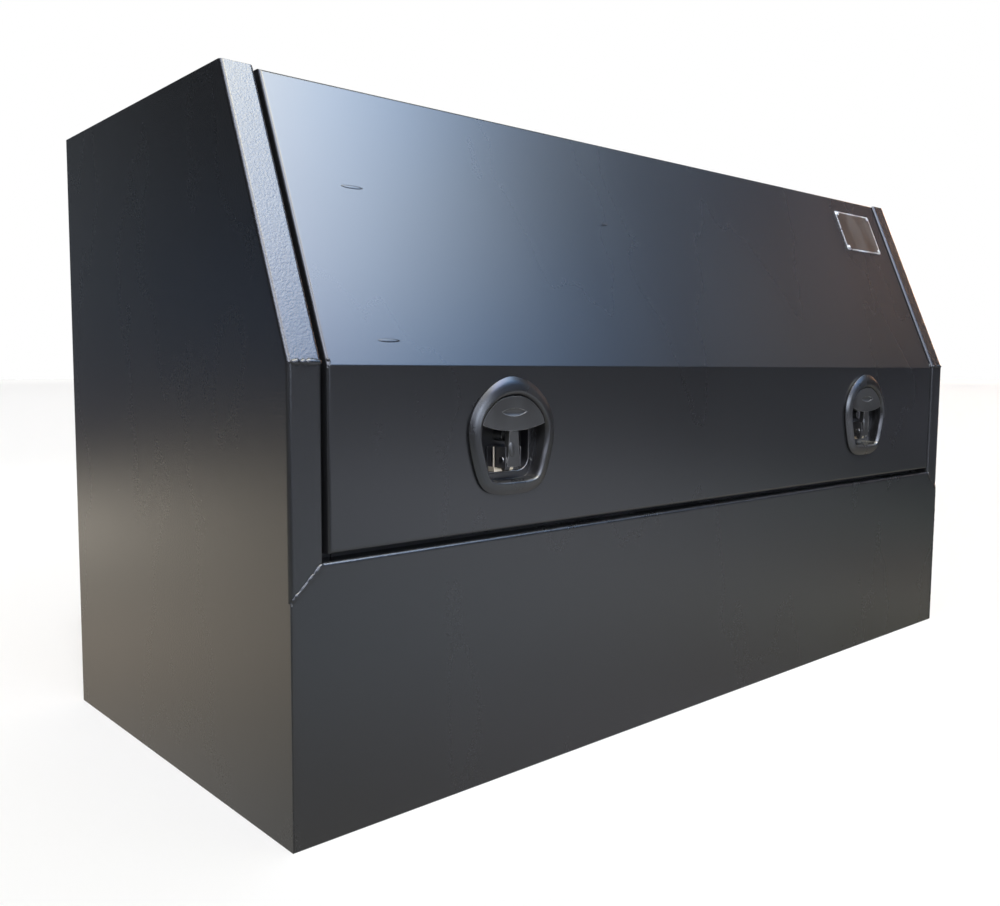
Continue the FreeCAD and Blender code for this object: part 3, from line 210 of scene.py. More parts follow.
class EffectLibrary:
    """Shader node groups that several finishes share."""

    def __init__(self) -> None:
        """Builds every group once."""
        self.relief = self.orange_peel()
        self.haze = self.handling_haze()
        self.grain = self.brushed_grain()
        self.edges = self.edge_wear_and_highlight()

    @staticmethod
    def group(
        name: str, inputs: dict[str, float], outputs: dict[str, str]
    ) -> tuple[Graph, bpy.types.Node, bpy.types.Node]:
        """Starts a group.

        Args:
            name: The group's name.
            inputs: Names and first values of its inputs.
            outputs: Names and socket types of its outputs.

        Returns:
            The group's graph, its input node and its output node.
        """
        tree = bpy.data.node_groups.new(name, "ShaderNodeTree")
        for key, value in inputs.items():
            socket = tree.interface.new_socket(key, in_out="INPUT", socket_type="NodeSocketFloat")
            socket.default_value = value
        for key, kind in outputs.items():
            tree.interface.new_socket(key, in_out="OUTPUT", socket_type=kind)
        graph = Graph(tree)
        return graph, graph.add("NodeGroupInput"), graph.add("NodeGroupOutput")

    def orange_peel(self, fine_share: float = 0.35) -> bpy.types.NodeTree:
        """The low wrinkles and fine grain of a sprayed or moulded skin.

        Args:
            fine_share: The height of the grain against that of the wrinkles.

        Returns:
            The group, which puts out a height.
        """
        graph, start, end = self.group(
            "orange_peel", {"Scale": 300.0, "Fine": 1400.0, "Share": fine_share},
            {"Height": "NodeSocketFloat"},
        )
        place = graph.own_place()
        broad = graph.noise(place, start.outputs["Scale"], detail=2.0)
        fine = graph.noise(place, start.outputs["Fine"], detail=1.0)
        total = graph.math("ADD", broad, graph.math("MULTIPLY", fine, start.outputs["Share"]))
        graph.feed(end.inputs["Height"], total)
        return graph.tree

    def handling_haze(self, squeeze: float = 0.45, speck_share: float = 0.2) -> bpy.types.NodeTree:
        """Soft patches of dust and wiping, with finer specks in them.

        Args:
            squeeze: How much slower the patches change upwards, so that they run down the panels.
            speck_share: How much of the patches is broken up by specks.

        Returns:
            The group, which puts out a mask.
        """
        graph, start, end = self.group(
            "handling_haze", {"Scale": 4.0, "Specks": 260.0}, {"Mask": "NodeSocketFloat"}
        )
        place = graph.own_place()
        stretched = graph.add("ShaderNodeMapping", Vector=place, Scale=(1.0, 1.0, squeeze)).outputs[0]
        soft = graph.ramp(graph.noise(stretched, start.outputs["Scale"], detail=3.0), 0.35, 0.7)
        fine = graph.ramp(graph.noise(place, start.outputs["Specks"], detail=2.0), 0.45, 0.75)
        broken = graph.math("ADD", graph.math("MULTIPLY", fine, speck_share), 1.0 - speck_share)
        graph.feed(end.inputs["Mask"], graph.math("MULTIPLY", soft, broken))
        return graph.tree

    def brushed_grain(self, stretch: float = 0.03, blotch_scale: float = 45.0) -> bpy.types.NodeTree:
        """Long fine lines left by rolling, drawing or brushing.

        Args:
            stretch: How slowly the lines change along the box.
            blotch_scale: The scale of the patches in which they show.

        Returns:
            The group, which puts out a height and a mask.
        """
        graph, start, end = self.group(
            "brushed_grain", {"Scale": 500.0}, {"Height": "NodeSocketFloat", "Mask": "NodeSocketFloat"}
        )
        place = graph.own_place()
        stretched = graph.add("ShaderNodeMapping", Vector=place, Scale=(stretch, 1.0, 1.0)).outputs[0]
        lines = graph.noise(stretched, start.outputs["Scale"], detail=3.0)
        blotch = graph.ramp(graph.noise(place, blotch_scale, detail=4.0), 0.4, 0.7)
        graph.feed(end.inputs["Height"], lines)
        graph.feed(end.inputs["Mask"], graph.math("MULTIPLY", blotch, lines))
        return graph.tree

    def edge_wear_and_highlight(self, flat: float = 0.93, sharp: float = 0.75) -> bpy.types.NodeTree:
        """Sharp edges, where a finish is worn thin and where some latch parts get a painted highlight, broken
        up by noise.

        Args:
            flat: The cosine of the turn at which the edge mask begins.
            sharp: The cosine of the turn at which it is full.

        Returns:
            The group, which puts out a mask and the rounded normal.
        """
        graph, start, end = self.group(
            "edge_wear_and_highlight", {"Radius": 0.0012, "Scale": 90.0},
            {"Mask": "NodeSocketFloat", "Normal": "NodeSocketVector"},
        )
        rounded = graph.add("ShaderNodeBevel", {"samples": 4}, Radius=start.outputs["Radius"]).outputs[0]
        plain = graph.add("ShaderNodeNewGeometry").outputs["Normal"]
        turn = graph.add("ShaderNodeVectorMath", {"operation": "DOT_PRODUCT"}, in0=rounded, in1=plain)
        edge = graph.ramp(turn.outputs["Value"], flat, sharp)
        patches = graph.noise(graph.own_place(), start.outputs["Scale"], detail=4.0)
        graph.feed(end.inputs["Mask"], graph.math("MULTIPLY", edge, graph.ramp(patches, 0.35, 0.55)))
        graph.feed(end.inputs["Normal"], rounded)
        return graph.tree


@dataclass(frozen=True)
class Finish:
    """A finish: its name, the record's slot, its colours, and the ways in which its surface varies.

    Heights and radii are in metres, scales in waves a metre, and shares between 0 and 1.
    """

    name: str
    slot: str
    tint: tuple[float, float, float]
    # The colour of worn edges; on the handle, the yoke and the pivot pin it is a painted highlight along their
    # edges
    wear_and_highlight_tint: tuple[float, float, float]
    roughness: float
    roughness_spread: float
    metallic: float = 0.0
    specular: float = 0.5
    coat: float = 0.0
    peel_scale: float = 300.0
    peel_fine: float = 1400.0
    peel_height: float = 0.00002
    haze_scale: float = 4.0
    haze_share: float = 0.35
    edge_radius: float = 0.0008
    wear_and_highlight_share: float = 0.25
    grain_height: float = 0.0
    grain_scale: float = 500.0
    coat_roughness: float = 0.25

    def build(self, effects: EffectLibrary) -> bpy.types.Material:
        """Makes the material.

        Args:
            effects: The shared node groups.

        Returns:
            The finished material.
        """
        material = bpy.data.materials.new(self.name)
        material.use_nodes = True
        graph = Graph(material.node_tree)
        edges = graph.add("ShaderNodeGroup", {"node_tree": effects.edges}, Radius=self.edge_radius)
        haze_group = graph.add("ShaderNodeGroup", {"node_tree": effects.haze}, Scale=self.haze_scale)
        haze = haze_group.outputs["Mask"]
        relief = graph.add(
            "ShaderNodeGroup", {"node_tree": effects.relief}, Scale=self.peel_scale, Fine=self.peel_fine
        )
        mark = graph.math("MULTIPLY", haze, self.haze_share)
        # Edge mask: worn paint on most finishes, a painted highlight on the handle, the yoke and the pivot pin
        wear_and_highlight = graph.math("MULTIPLY", edges.outputs["Mask"], self.wear_and_highlight_share)
        tint = graph.mix(graph.math("MAXIMUM", mark, wear_and_highlight), colour(*self.tint), colour(*self.wear_and_highlight_tint))
        dulled = graph.math("MULTIPLY", haze, self.roughness_spread)
        rough = graph.math("ADD", dulled, self.roughness, clamp=True)
        bump = graph.add(
            "ShaderNodeBump", Strength=1.0, Distance=self.peel_height, Height=relief.outputs["Height"],
            Normal=edges.outputs["Normal"],
        )
        normal = bump.outputs[0]
        if self.grain_height:
            grain = graph.add("ShaderNodeGroup", {"node_tree": effects.grain}, Scale=self.grain_scale)
            lines = graph.add(
                "ShaderNodeBump", Strength=1.0, Distance=self.grain_height, Height=grain.outputs["Height"],
                Normal=normal,
            )
            normal = lines.outputs[0]
            brushed = graph.math("MULTIPLY", grain.outputs["Mask"], self.roughness_spread)
            rough = graph.math("ADD", rough, brushed, clamp=True)
        shader = graph.add("ShaderNodeBsdfPrincipled", Base_Color=tint, Roughness=rough, Normal=normal)
        shader.inputs["Metallic"].default_value = self.metallic
        shader.inputs["Specular IOR Level"].default_value = self.specular
        shader.inputs["Coat Weight"].default_value = self.coat
        shader.inputs["Coat Roughness"].default_value = self.coat_roughness
        graph.add("ShaderNodeOutputMaterial", Surface=shader.outputs[0])
        return material


FINISHES = (
    Finish("body_coat", "body_coat", (0.0105, 0.011, 0.0125), (0.05, 0.048, 0.045), 0.26, 0.03,
           peel_scale=400.0, peel_fine=1300.0, peel_height=0.00024, haze_share=0.02, wear_and_highlight_share=0.1),
    Finish("lid_coat", "lid_coat", (0.0105, 0.011, 0.0125), (0.05, 0.048, 0.045), 0.27, 0.02,
           peel_scale=300.0, peel_fine=1500.0, peel_height=0.000006, haze_share=0.02, wear_and_highlight_share=0.1),
    Finish("channel_coat", "channel_coat", (0.013, 0.0135, 0.015), (0.06, 0.058, 0.055), 0.42, 0.12,
           peel_height=0.00003, haze_share=0.2),
    Finish("seal_rubber", "seal_rubber", (0.012, 0.012, 0.012), (0.05, 0.05, 0.048), 0.7, 0.15,
           peel_scale=900.0, peel_fine=2600.0, peel_height=0.00005, haze_scale=9.0, wear_and_highlight_share=0.0),
    Finish("hinge_steel", "hinge_steel", (0.58, 0.58, 0.58), (0.42, 0.41, 0.39), 0.3, 0.2, metallic=1.0,
           peel_height=0.000006, grain_height=0.00001, haze_scale=14.0),
    Finish("rivet_alloy", "rivet_alloy", (0.72, 0.72, 0.71), (0.5, 0.5, 0.49), 0.34, 0.2, metallic=1.0,
           peel_height=0.000015, haze_scale=60.0),
    Finish("nameplate_metal", "nameplate_metal", (0.78, 0.76, 0.73), (0.55, 0.53, 0.5), 0.26, 0.16,
           metallic=1.0, peel_height=0.000004, grain_height=0.000006, grain_scale=900.0, haze_scale=25.0,
           edge_radius=0.0004),
    Finish("nameplate_ink", "nameplate_metal", (0.026, 0.018, 0.012), (0.07, 0.055, 0.04), 0.30, 0.12,
           peel_height=0.000008, haze_scale=25.0, haze_share=0.4, edge_radius=0.0002, wear_and_highlight_share=0.0),
    Finish("bracket_steel", "bracket_steel", (0.55, 0.55, 0.53), (0.4, 0.38, 0.33), 0.36, 0.2, metallic=1.0,
           peel_height=0.00001, grain_height=0.000008, haze_scale=30.0),
    Finish("screw_steel", "screw_steel", (0.6, 0.6, 0.59), (0.45, 0.44, 0.4), 0.32, 0.2, metallic=1.0,
           peel_height=0.00001, haze_scale=60.0, edge_radius=0.0004),
    Finish("strut_black", "strut_black", (0.012, 0.012, 0.013), (0.05, 0.05, 0.05), 0.22, 0.15, coat=0.5,
           peel_height=0.00001, haze_scale=20.0, haze_share=0.2),
    Finish("rod_chrome", "rod_chrome", (0.78, 0.78, 0.8), (0.66, 0.66, 0.68), 0.08, 0.12, metallic=1.0,
           peel_height=0.000002, haze_scale=40.0, wear_and_highlight_share=0.0),
    Finish("latch_black", "latch_black", (0.012, 0.012, 0.013), (0.05, 0.05, 0.05), 0.25, 0.08,
           peel_scale=1500.0, peel_fine=3500.0, peel_height=0.00001, haze_scale=22.0, haze_share=0.10,
           edge_radius=0.0006, wear_and_highlight_share=0.1),
    # Handle: its pale edge tint is a painted highlight, a thin bright line along the handle's rim
    Finish("handle_black", "handle_black", (0.016, 0.016, 0.016), (0.45, 0.45, 0.47), 0.33, 0.10,
           peel_scale=1300.0, peel_fine=3500.0, peel_height=0.000015, haze_scale=30.0, haze_share=0.02,
           edge_radius=0.001, wear_and_highlight_share=0.9),
    Finish("gasket_rubber", "gasket_rubber", (0.012, 0.012, 0.012), (0.04, 0.04, 0.04), 0.65, 0.15,
           peel_scale=1200.0, peel_fine=3000.0, peel_height=0.00003, haze_scale=30.0, wear_and_highlight_share=0.0),
    Finish("dish_black", "dish_black", (0.012, 0.012, 0.014), (0.05, 0.05, 0.05), 0.3, 0.15,
           peel_height=0.00001, haze_scale=30.0, haze_share=0.2, edge_radius=0.0005),
    Finish("zinc_steel", "zinc_steel", (0.84, 0.74, 0.58), (0.6, 0.5, 0.38), 0.34, 0.15, metallic=0.75,
           peel_height=0.000008, grain_height=0.000006, grain_scale=900.0, haze_scale=45.0,
           edge_radius=0.0005),
    # Yoke: its near-black colour is a painted dark reflection of the latch's recess, and its pale edge tint is
    # a painted highlight
    Finish("yoke_steel", "zinc_steel", (0.05, 0.05, 0.055), (0.7, 0.68, 0.62), 0.30, 0.12, metallic=0.6,
           peel_height=0.000008, haze_scale=45.0, haze_share=0.1, edge_radius=0.0006, wear_and_highlight_share=0.5),
    # Pivot pin: its pale edge tint is a painted highlight, a bright ring round the end of the pin
    Finish("pin_steel", "zinc_steel", (0.20, 0.20, 0.20), (0.7, 0.68, 0.62), 0.28, 0.12, metallic=1.0,
           peel_height=0.000008, haze_scale=45.0, haze_share=0.3, edge_radius=0.0008, wear_and_highlight_share=0.8),
    Finish("dish_lip", "dish_black", (0.05, 0.05, 0.055), (0.3, 0.3, 0.3), 0.2, 0.1, specular=0.9,
           peel_height=0.000004, haze_scale=60.0, haze_share=0.2, wear_and_highlight_share=0.0),
    Finish("lock_metal", "lock_metal", (0.62, 0.62, 0.62), (0.3, 0.3, 0.3), 0.16, 0.12, metallic=1.0,
           peel_height=0.000006, haze_scale=80.0, edge_radius=0.0006),
)

NODE_FINISHES = {
    "body_coat": ("side_panel_left", "side_panel_right", "back_panel", "floor_panel", "roof_panel",
                  "lower_front_panel"),
    "lid_coat": ("lid_skin",),
    "channel_coat": ("door_channel_left", "door_channel_right", "door_channel_sill", "door_channel_header",
                     "lid_ribs"),
    "seal_rubber": ("door_seal",),
    "hinge_steel": ("hinge_fixed_leaf", "hinge_moving_leaf", "hinge_pin"),
    "rivet_alloy": ("hinge_fixed_rivets", "hinge_moving_rivets", "nameplate_rivets"),
    "nameplate_metal": ("nameplate",),
    "screw_steel": ("keeper_screws",),
}
END_FINISHES = {
    "bracket_steel": ("strut_lid_bracket", "strut_foot", "keeper"),
    "screw_steel": ("latch_screws",),
    "strut_black": ("strut_cylinder",),
    "rod_chrome": ("strut_rod",),
    "latch_black": ("latch_bezel",),
    "handle_black": ("latch_handle",),
    "gasket_rubber": ("latch_gasket",),
    "dish_black": ("latch_pan",),
    "zinc_steel": ("latch_yoke", "latch_pivot_pin", "latch_back_bracket", "latch_pawl_pin", "latch_link",
                   "latch_pawl"),
    "lock_metal": ("latch_lock_barrel", "latch_lock_plug"),
}


class PaintShop:
    """Holds the finished materials and puts them on nodes and new pieces."""

    def __init__(self) -> None:
        """Builds every finish."""
        effects = EffectLibrary()
        self.finishes = {finish.name: finish for finish in FINISHES}
        self.materials = {finish.name: finish.build(effects) for finish in FINISHES}

    def dress(self, piece: bpy.types.Object, finish: str) -> None:
        """Gives a piece one finish all over."""
        piece.data.materials.clear()
        piece.data.materials.append(self.materials[finish])

    def dress_nodes(self) -> None:
        """Puts the finishes on the nodes of the source."""
        for finish, nodes in NODE_FINISHES.items():
            for node in nodes:
                self.dress(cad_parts[node], finish)
        for finish, nodes in END_FINISHES.items():
            for node in nodes:
                for end in End:
                    self.dress(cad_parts[f"{node}_{end.word}"], finish)

    def finish_piece(
        self, shape: bmesh.types.BMesh, name: str, finish: str, body: str
    ) -> bpy.types.Object:
        """Turns a shape into a piece of the object.

        Args:
            shape: The mesh in the row frame. It is freed.
            name: The piece's name.
            finish: The name of its finish.
            body: The body that it rides on.

        Returns:
            The new piece.
        """
        mesh = bpy.data.meshes.new(name)
        shape.to_mesh(mesh)
        shape.free()
        piece = bpy.data.objects.new(name, mesh)
        bpy.context.scene.collection.objects.link(piece)
        self.dress(piece, finish)
        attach(piece, body)
        LOG.info("%s: %d faces on %s", name, len(mesh.polygons), body)
        return piece


def frame_at(point: Vector, x_axis: Vector, y_axis: Vector, z_axis: Vector) -> Matrix:
    """A frame from its origin and its axes, each as long as its scale."""
    place = Matrix.Identity(4)
    for column, part in enumerate((x_axis, y_axis, z_axis, point)):
        place.col[column][:3] = part
    return place


def ring_edges(ring: list[bmesh.types.BMVert]) -> list[bmesh.types.BMEdge]:
    """The edges between the corners of a ring."""
    near = dict.fromkeys(edge for vert in ring for edge in vert.link_edges)
    return [edge for edge in near if all(vert in ring for vert in edge.verts)]


def sweep(shape: bmesh.types.BMesh, places: list[Matrix], sides: int, closed: bool = False) -> None:
    """Draws a ring out through a row of frames.

    Args:
        shape: The mesh that takes the swept form.
        places: The frames in order. Each puts a circle of radius 1 in its XY plane.
        sides: The number of the ring's corners.
        closed: Whether the last ring meets the first. Otherwise both are capped.
    """
    first = ring = bmesh.ops.create_circle(shape, cap_ends=False, radius=1.0, segments=sides)["verts"]
    bmesh.ops.transform(shape, matrix=places[0], verts=ring)
    for before, place in zip(places, places[1:]):
        grown = bmesh.ops.extrude_edge_only(shape, edges=ring_edges(ring))["geom"]
        ring = [item for item in grown if isinstance(item, bmesh.types.BMVert)]
        bmesh.ops.transform(shape, matrix=place @ before.inverted(), verts=ring)
    if closed:
        bmesh.ops.bridge_loops(shape, edges=ring_edges(first) + ring_edges(ring))
    else:
        for loop in (first, ring):
            bmesh.ops.edgeloop_fill(shape, edges=ring_edges(loop))


def close_shape(shape: bmesh.types.BMesh) -> None:
    """Turns all faces outwards and shades them smoothly."""
    bmesh.ops.recalc_face_normals(shape, faces=shape.faces)
    for face in shape.faces:
        face.smooth = True


@dataclass(frozen=True)
class WeldBead:
    """A bead laid along a straight line, with the ripples of its passes."""

    width: float
    height: float
    seed: int
    roughness: float
    pitch: float = 0.0022
    sides: int = 10
    valley: float = 0.72
    taper: tuple[float, float, float] = (0.35, 0.8, 1.0)

    def lay(self, shape: bmesh.types.BMesh, start: Vector, stop: Vector, outward: Vector) -> None:
        """Adds the bead to a mesh.

        Args:
            shape: The mesh that takes the bead.
            start: Where the bead begins.
            stop: Where it ends.
            outward: The way it stands out of the sheet.
        """
        dice = random.Random(self.seed)
        run = stop - start
        count = max(2, round(run.length / self.pitch))
        along = run.normalized()
        across = along.cross(outward).normalized()
        places = []
        for index in range(count + 1):
            from_end = min(index, count - index, len(self.taper) - 1)
            swell = self.taper[from_end] * (1 + self.roughness * (dice.random() - 0.5))
            wide = self.width / 2 * swell
            high = self.height * swell * (1.0 if index % 2 else self.valley)
            places.append(frame_at(start + run * index / count, across * wide, outward * high, along))
        sweep(shape, places, self.sides)


@dataclass
class FoldedBox:
    """The fixed box: its weld beads at the knees, mitres, corners and roof."""

    knee_bead: WeldBead = WeldBead(0.0066, 0.0021, seed=3, roughness=0.8)
    mitre_bead: WeldBead = WeldBead(0.0058, 0.0019, seed=5, roughness=0.8)
    seam_bead: WeldBead = WeldBead(0.0030, 0.0009, seed=7, roughness=0.9, pitch=0.003)
    roof_bead: WeldBead = WeldBead(0.005, 0.0017, seed=11, roughness=0.5, pitch=0.004)
    overlap: float = 0.001
    knee_inset: float = 0.0035
    mitre_inset: float = 0.002
    seam_share: float = 0.75
    foot_lift: float = 0.002
    roof_start: float = -0.166
    roof_stop: float = 0.296
    roof_sink: float = 0.0008

    def build(self, shop: PaintShop) -> None:
        """Makes the beads of both ends.

        Args:
            shop: The shop that dresses them.
        """
        for end in End:
            body = Body.BOX.value
            shop.finish_piece(self.corner_beads(end.value), f"corner_welds_{end.word}", "body_coat", body)
            shop.finish_piece(self.roof_seam(end.value), f"roof_weld_{end.word}", "body_coat", body)

    def corner_beads(self, sign: int) -> bmesh.types.BMesh:
        """The beads on the knee, on the mitre and down the corner of one end.

        Args:
            sign: The sign of the end's X.

        Returns:
            The mesh with the three beads.
        """
        shape = bmesh.new()
        flange_edge = SIDE - FLANGE + self.overlap
        mitre_foot = SILL_HEIGHT - MITRE_DROP
        inner = Vector((sign * flange_edge, FRONT, KNEE_HEIGHT))
        outer = Vector((sign * (SIDE - self.knee_inset), FRONT, KNEE_HEIGHT))
        self.knee_bead.lay(shape, outer, inner, OUT_OF_KNEE)
        top = Vector((sign * flange_edge, FRONT, SILL_HEIGHT - self.overlap))
        low = Vector((sign * (SIDE - self.mitre_inset), FRONT, mitre_foot + self.overlap))
        self.mitre_bead.lay(shape, top, low, -Y_AXIS)
        seam_x = sign * (SIDE - self.seam_bead.width * self.seam_share)
        foot = Vector((seam_x, FRONT, self.foot_lift))
        head = Vector((seam_x, FRONT, mitre_foot - self.overlap))
        self.seam_bead.lay(shape, foot, head, -Y_AXIS)
        close_shape(shape)
        return shape

    def roof_seam(self, sign: int) -> bmesh.types.BMesh:
        """The bead between the roof and one side panel.

        Args:
            sign: The sign of the end's X.

        Returns:
            The mesh of the bead.
        """
        shape = bmesh.new()
        x = sign * (SIDE - SHEET - self.roof_sink)
        near = Vector((x, self.roof_start, ROOF_TOP - self.roof_sink))
        far = Vector((x, self.roof_stop, ROOF_TOP - self.roof_sink))
        self.roof_bead.lay(shape, near, far, (Z_AXIS - X_AXIS * sign).normalized())
        close_shape(shape)
        return shape


@dataclass
class HalfLid:
    """The lid: welded corners at its knee and feet, and the marks of the stiffeners."""

    blob: float = 0.0022
    blob_flat: float = 0.7
    knee_dabs: int = 5
    dab_drift: float = 0.0009
    dab_step: float = 0.0021
    dab_below: float = 2.6
    knee_sink: tuple[float, float] = (0.0022, 0.0005)
    foot_sink: tuple[float, float] = (0.0024, 0.0022)
    marks: tuple[tuple[float, float], ...] = ((-0.614, 0.2125), (-0.188, 0.2122), (-0.615, 0.026))
    mark_size: tuple[float, float, float] = (0.015, 0.0022, 0.0004)

    def build(self, shop: PaintShop) -> None:
        """Makes the corner welds and the stiffener marks.

        Args:
            shop: The shop that dresses them.
        """
        shop.finish_piece(self.corner_dabs(), "lid_corner_welds", "lid_coat", Body.LID.value)
        shop.finish_piece(self.stiffener_marks(), "lid_stiffener_marks", "lid_coat", Body.LID.value)

    def corner_dabs(self) -> bmesh.types.BMesh:
        """The dabs of weld at both ends of the lid, on its knee and at its foot.

        Returns:
            The mesh of the dabs.
        """
        dice = random.Random(17)
        shape = bmesh.new()
        for end in End:
            edge = end.value * (LID_SIDE - SHEET)
            knee = Vector((edge, FRONT + self.knee_sink[0], KNEE_HEIGHT - self.knee_sink[1]))
            for step in range(self.knee_dabs):
                drift = -end.value * self.dab_drift * step * dice.random()
                lift = Vector((drift, 0, (step - self.dab_below) * self.dab_step))
                self.dab(shape, knee + lift, self.blob * (0.75 + 0.5 * dice.random()), OUT_OF_KNEE)
            foot = Vector((edge, FRONT + self.foot_sink[0], LID_BOTTOM + self.foot_sink[1]))
            self.dab(shape, foot, self.blob, -Y_AXIS)
        close_shape(shape)
        return shape

    def stiffener_marks(self) -> bmesh.types.BMesh:
        """The faint marks of the stiffeners behind the slope.

        Returns:
            The mesh of the marks.
        """
        shape = bmesh.new()
        size = Matrix.Diagonal((*self.mark_size, 1.0))
        for x, along in self.marks:
            mark = bmesh.ops.create_uvsphere(shape, u_segments=24, v_segments=8, radius=1.0)["verts"]
            place = slope_frame(on_slope(along, -LID_INSET, x))
            bmesh.ops.transform(shape, matrix=place @ size, verts=mark)
        close_shape(shape)
        return shape

    def dab(self, shape: bmesh.types.BMesh, point: Vector, radius: float, outward: Vector) -> None:
        """Adds one rounded dab of weld.

        Args:
            shape: The mesh that takes it.
            point: Its middle.
            radius: Its radius.
            outward: The way along which it is flattened.
        """
        ball = bmesh.ops.create_icosphere(shape, subdivisions=2, radius=radius)["verts"]
        flat = Matrix.Scale(self.blob_flat, 4, outward)
        bmesh.ops.transform(shape, matrix=Matrix.Translation(point) @ flat, verts=ball)


@dataclass
class Nameplate:
    """The dark field of the blank nameplate, inside a bright line."""

    centre_x: float = 0.6
    along: float = 0.2773
    length: float = 0.1235
    height: float = 0.0755
    thick: float = 0.00012
    face_proud: float = -0.0002
    corner: float = 0.004
    corner_steps: int = 5

    def build(self, shop: PaintShop) -> None:
        """Makes the field.

        Args:
            shop: The shop that dresses it.
        """
        shape = bmesh.new()
        bmesh.ops.create_cube(shape, size=1.0)
        bmesh.ops.scale(shape, vec=(self.length, self.height, self.thick), verts=shape.verts)
        upright = [
            edge for edge in shape.edges
            if abs((edge.verts[0].co - edge.verts[1].co).z) > self.thick / 2
        ]
        bmesh.ops.bevel(
            shape, geom=upright, offset=self.corner, offset_type="OFFSET", affect="EDGES",
            segments=self.corner_steps, profile=0.5, material=-1,
        )
        point = on_slope(self.along, self.face_proud + self.thick / 2, self.centre_x)
        bmesh.ops.transform(shape, matrix=slope_frame(point), verts=shape.verts)
        bmesh.ops.recalc_face_normals(shape, faces=shape.faces)
        shop.finish_piece(shape, "nameplate_field", "nameplate_ink", Body.LID.value)


@dataclass(frozen=True)
class SoftCopy:
    """A node that is shown with rounded edges, its finish, and whether it moves with the handle."""

    node: str
    finish: str
    width: float
    on_handle: bool = False


@dataclass
class Latch:
    """One paddle latch: softened mouldings and pressings, the yoke's lips and the dish's rolled edge.

    Outlines are across and up from the middle of the latch, and depths run into the box.
    """

    end: End
    soft_copies: tuple[SoftCopy, ...] = (
        SoftCopy("latch_handle", "handle_black", 0.0009, on_handle=True),
        SoftCopy("latch_yoke", "yoke_steel", 0.0004),
        SoftCopy("latch_pivot_pin", "pin_steel", 0.0006),
    )
    ear: tuple[tuple[float, float], ...] = (
        (-0.0178, -0.0375), (-0.0160, -0.0375), (-0.0160, -0.0125), (-0.0166, -0.0120), (-0.0178, -0.0130),
    )
    ear_deep: float = 0.0126
    ear_thick: float = 0.0016
    shelf: tuple[tuple[float, float], ...] = (
        (-0.0180, -0.0425), (-0.0180, -0.0365), (0.0010, -0.0402), (0.0145, -0.0406), (0.0145, -0.0425),
    )
    shelf_deep: float = 0.0110
    shelf_thick: float = 0.0106
    lip_edge: float = 0.0003
    dish_half: float = 0.03975
    dish_top: float = 0.02325
    dish_low: float = -0.04325
    dish_corner: float = 0.01725
    dish_corner_steps: int = 8
    dish_deep: float = 0.0108
    roll_radius: float = 0.0009
    roll_sides: int = 8
    swell_size: tuple[float, float, float] = (0.0050, 0.0030, 0.0095)
    swell_place: tuple[float, float, float] = (-0.0042, -0.0155, -0.0030)
    swell_turn: float = -9.0
    merge_gap: float = 1e-6
    flat_turn: float = 0.5
    sharp_turn: float = 35.0
    crease_turn: float = 40.0

    def build(self, shop: PaintShop) -> None:
        """Puts softened copies in place of three solids and adds the small lips.

        Args:
            shop: The shop that dresses them.
        """
        word, lid, handle = self.end.word, Body.LID.value, f"handle_{self.end.word}"
        for copy in self.soft_copies:
            shape = self.soften(f"{copy.node}_{word}", copy.width)
            body = handle if copy.on_handle else lid
            piece = shop.finish_piece(shape, f"{copy.node}_soft_{word}", copy.finish, body)
            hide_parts(f"{copy.node}_{word}")
            weighted = piece.modifiers.new("weighted_normal", "WEIGHTED_NORMAL")
            weighted.keep_sharp = True
        shop.finish_piece(self.yoke_lips(), f"latch_yoke_lips_{word}", "zinc_steel", lid)
        shop.finish_piece(self.dish_lip(), f"latch_dish_lip_{word}", "dish_lip", lid)
        shop.finish_piece(self.stem_swell(), f"latch_stem_swell_{word}", "handle_black", handle)

    def place(self, across: float, up: float, deep: float) -> Vector:
        """A point of the latch, from the middle of its face."""
        return Vector((self.end.value * LATCH_FROM_CENTRE + across, FRONT + deep, LATCH_HEIGHT + up))

    def yoke_lips(self) -> bmesh.types.BMesh:
        """The ear beside the yoke's left cheek and the shelf under its stem.

        Returns:
            The mesh of both.
        """
        shape = bmesh.new()
        self.slab(shape, [self.place(u, v, self.ear_deep) for u, v in self.ear], self.ear_thick)
        self.slab(shape, [self.place(u, v, self.shelf_deep) for u, v in self.shelf], self.shelf_thick)
        bmesh.ops.recalc_face_normals(shape, faces=shape.faces)
        return shape

    def slab(self, shape: bmesh.types.BMesh, corners: list[Vector], thick: float) -> None:
        """Adds a plate with softened edges.

        Args:
            shape: The mesh that takes it.
            corners: The front face of the plate.
            thick: Its thickness into the box.
        """
        face = shape.faces.new([shape.verts.new(corner) for corner in corners])
        grown = bmesh.ops.extrude_face_region(shape, geom=[face], use_keep_orig=True)["geom"]
        far = [item for item in grown if isinstance(item, bmesh.types.BMVert)]
        bmesh.ops.translate(shape, vec=Y_AXIS * thick, verts=far)
        edges = list(dict.fromkeys(edge for vert in far + list(face.verts) for edge in vert.link_edges))
        bmesh.ops.bevel(
            shape, geom=edges, offset=self.lip_edge, offset_type="OFFSET", affect="EDGES", segments=2,
            profile=0.5, material=-1,
        )

    def dish_route(self) -> list[Vector]:
        """The line of the dish's edge, with its four rounded corners.

        Returns:
            Its points, once round.
        """
        corner, steps = self.dish_corner, self.dish_corner_steps
        middle_u = self.dish_half - corner
        middles = (
            (middle_u, self.dish_top - corner), (-middle_u, self.dish_top - corner),
            (-middle_u, self.dish_low + corner), (middle_u, self.dish_low + corner),
        )
        route = []
        for quarter, (u, v) in enumerate(middles):
            for step in range(steps + 1):
                turn = math.radians(90 * (quarter + step / steps))
                across, up = u + corner * math.cos(turn), v + corner * math.sin(turn)
                route.append(self.place(across, up, self.dish_deep))
        return route

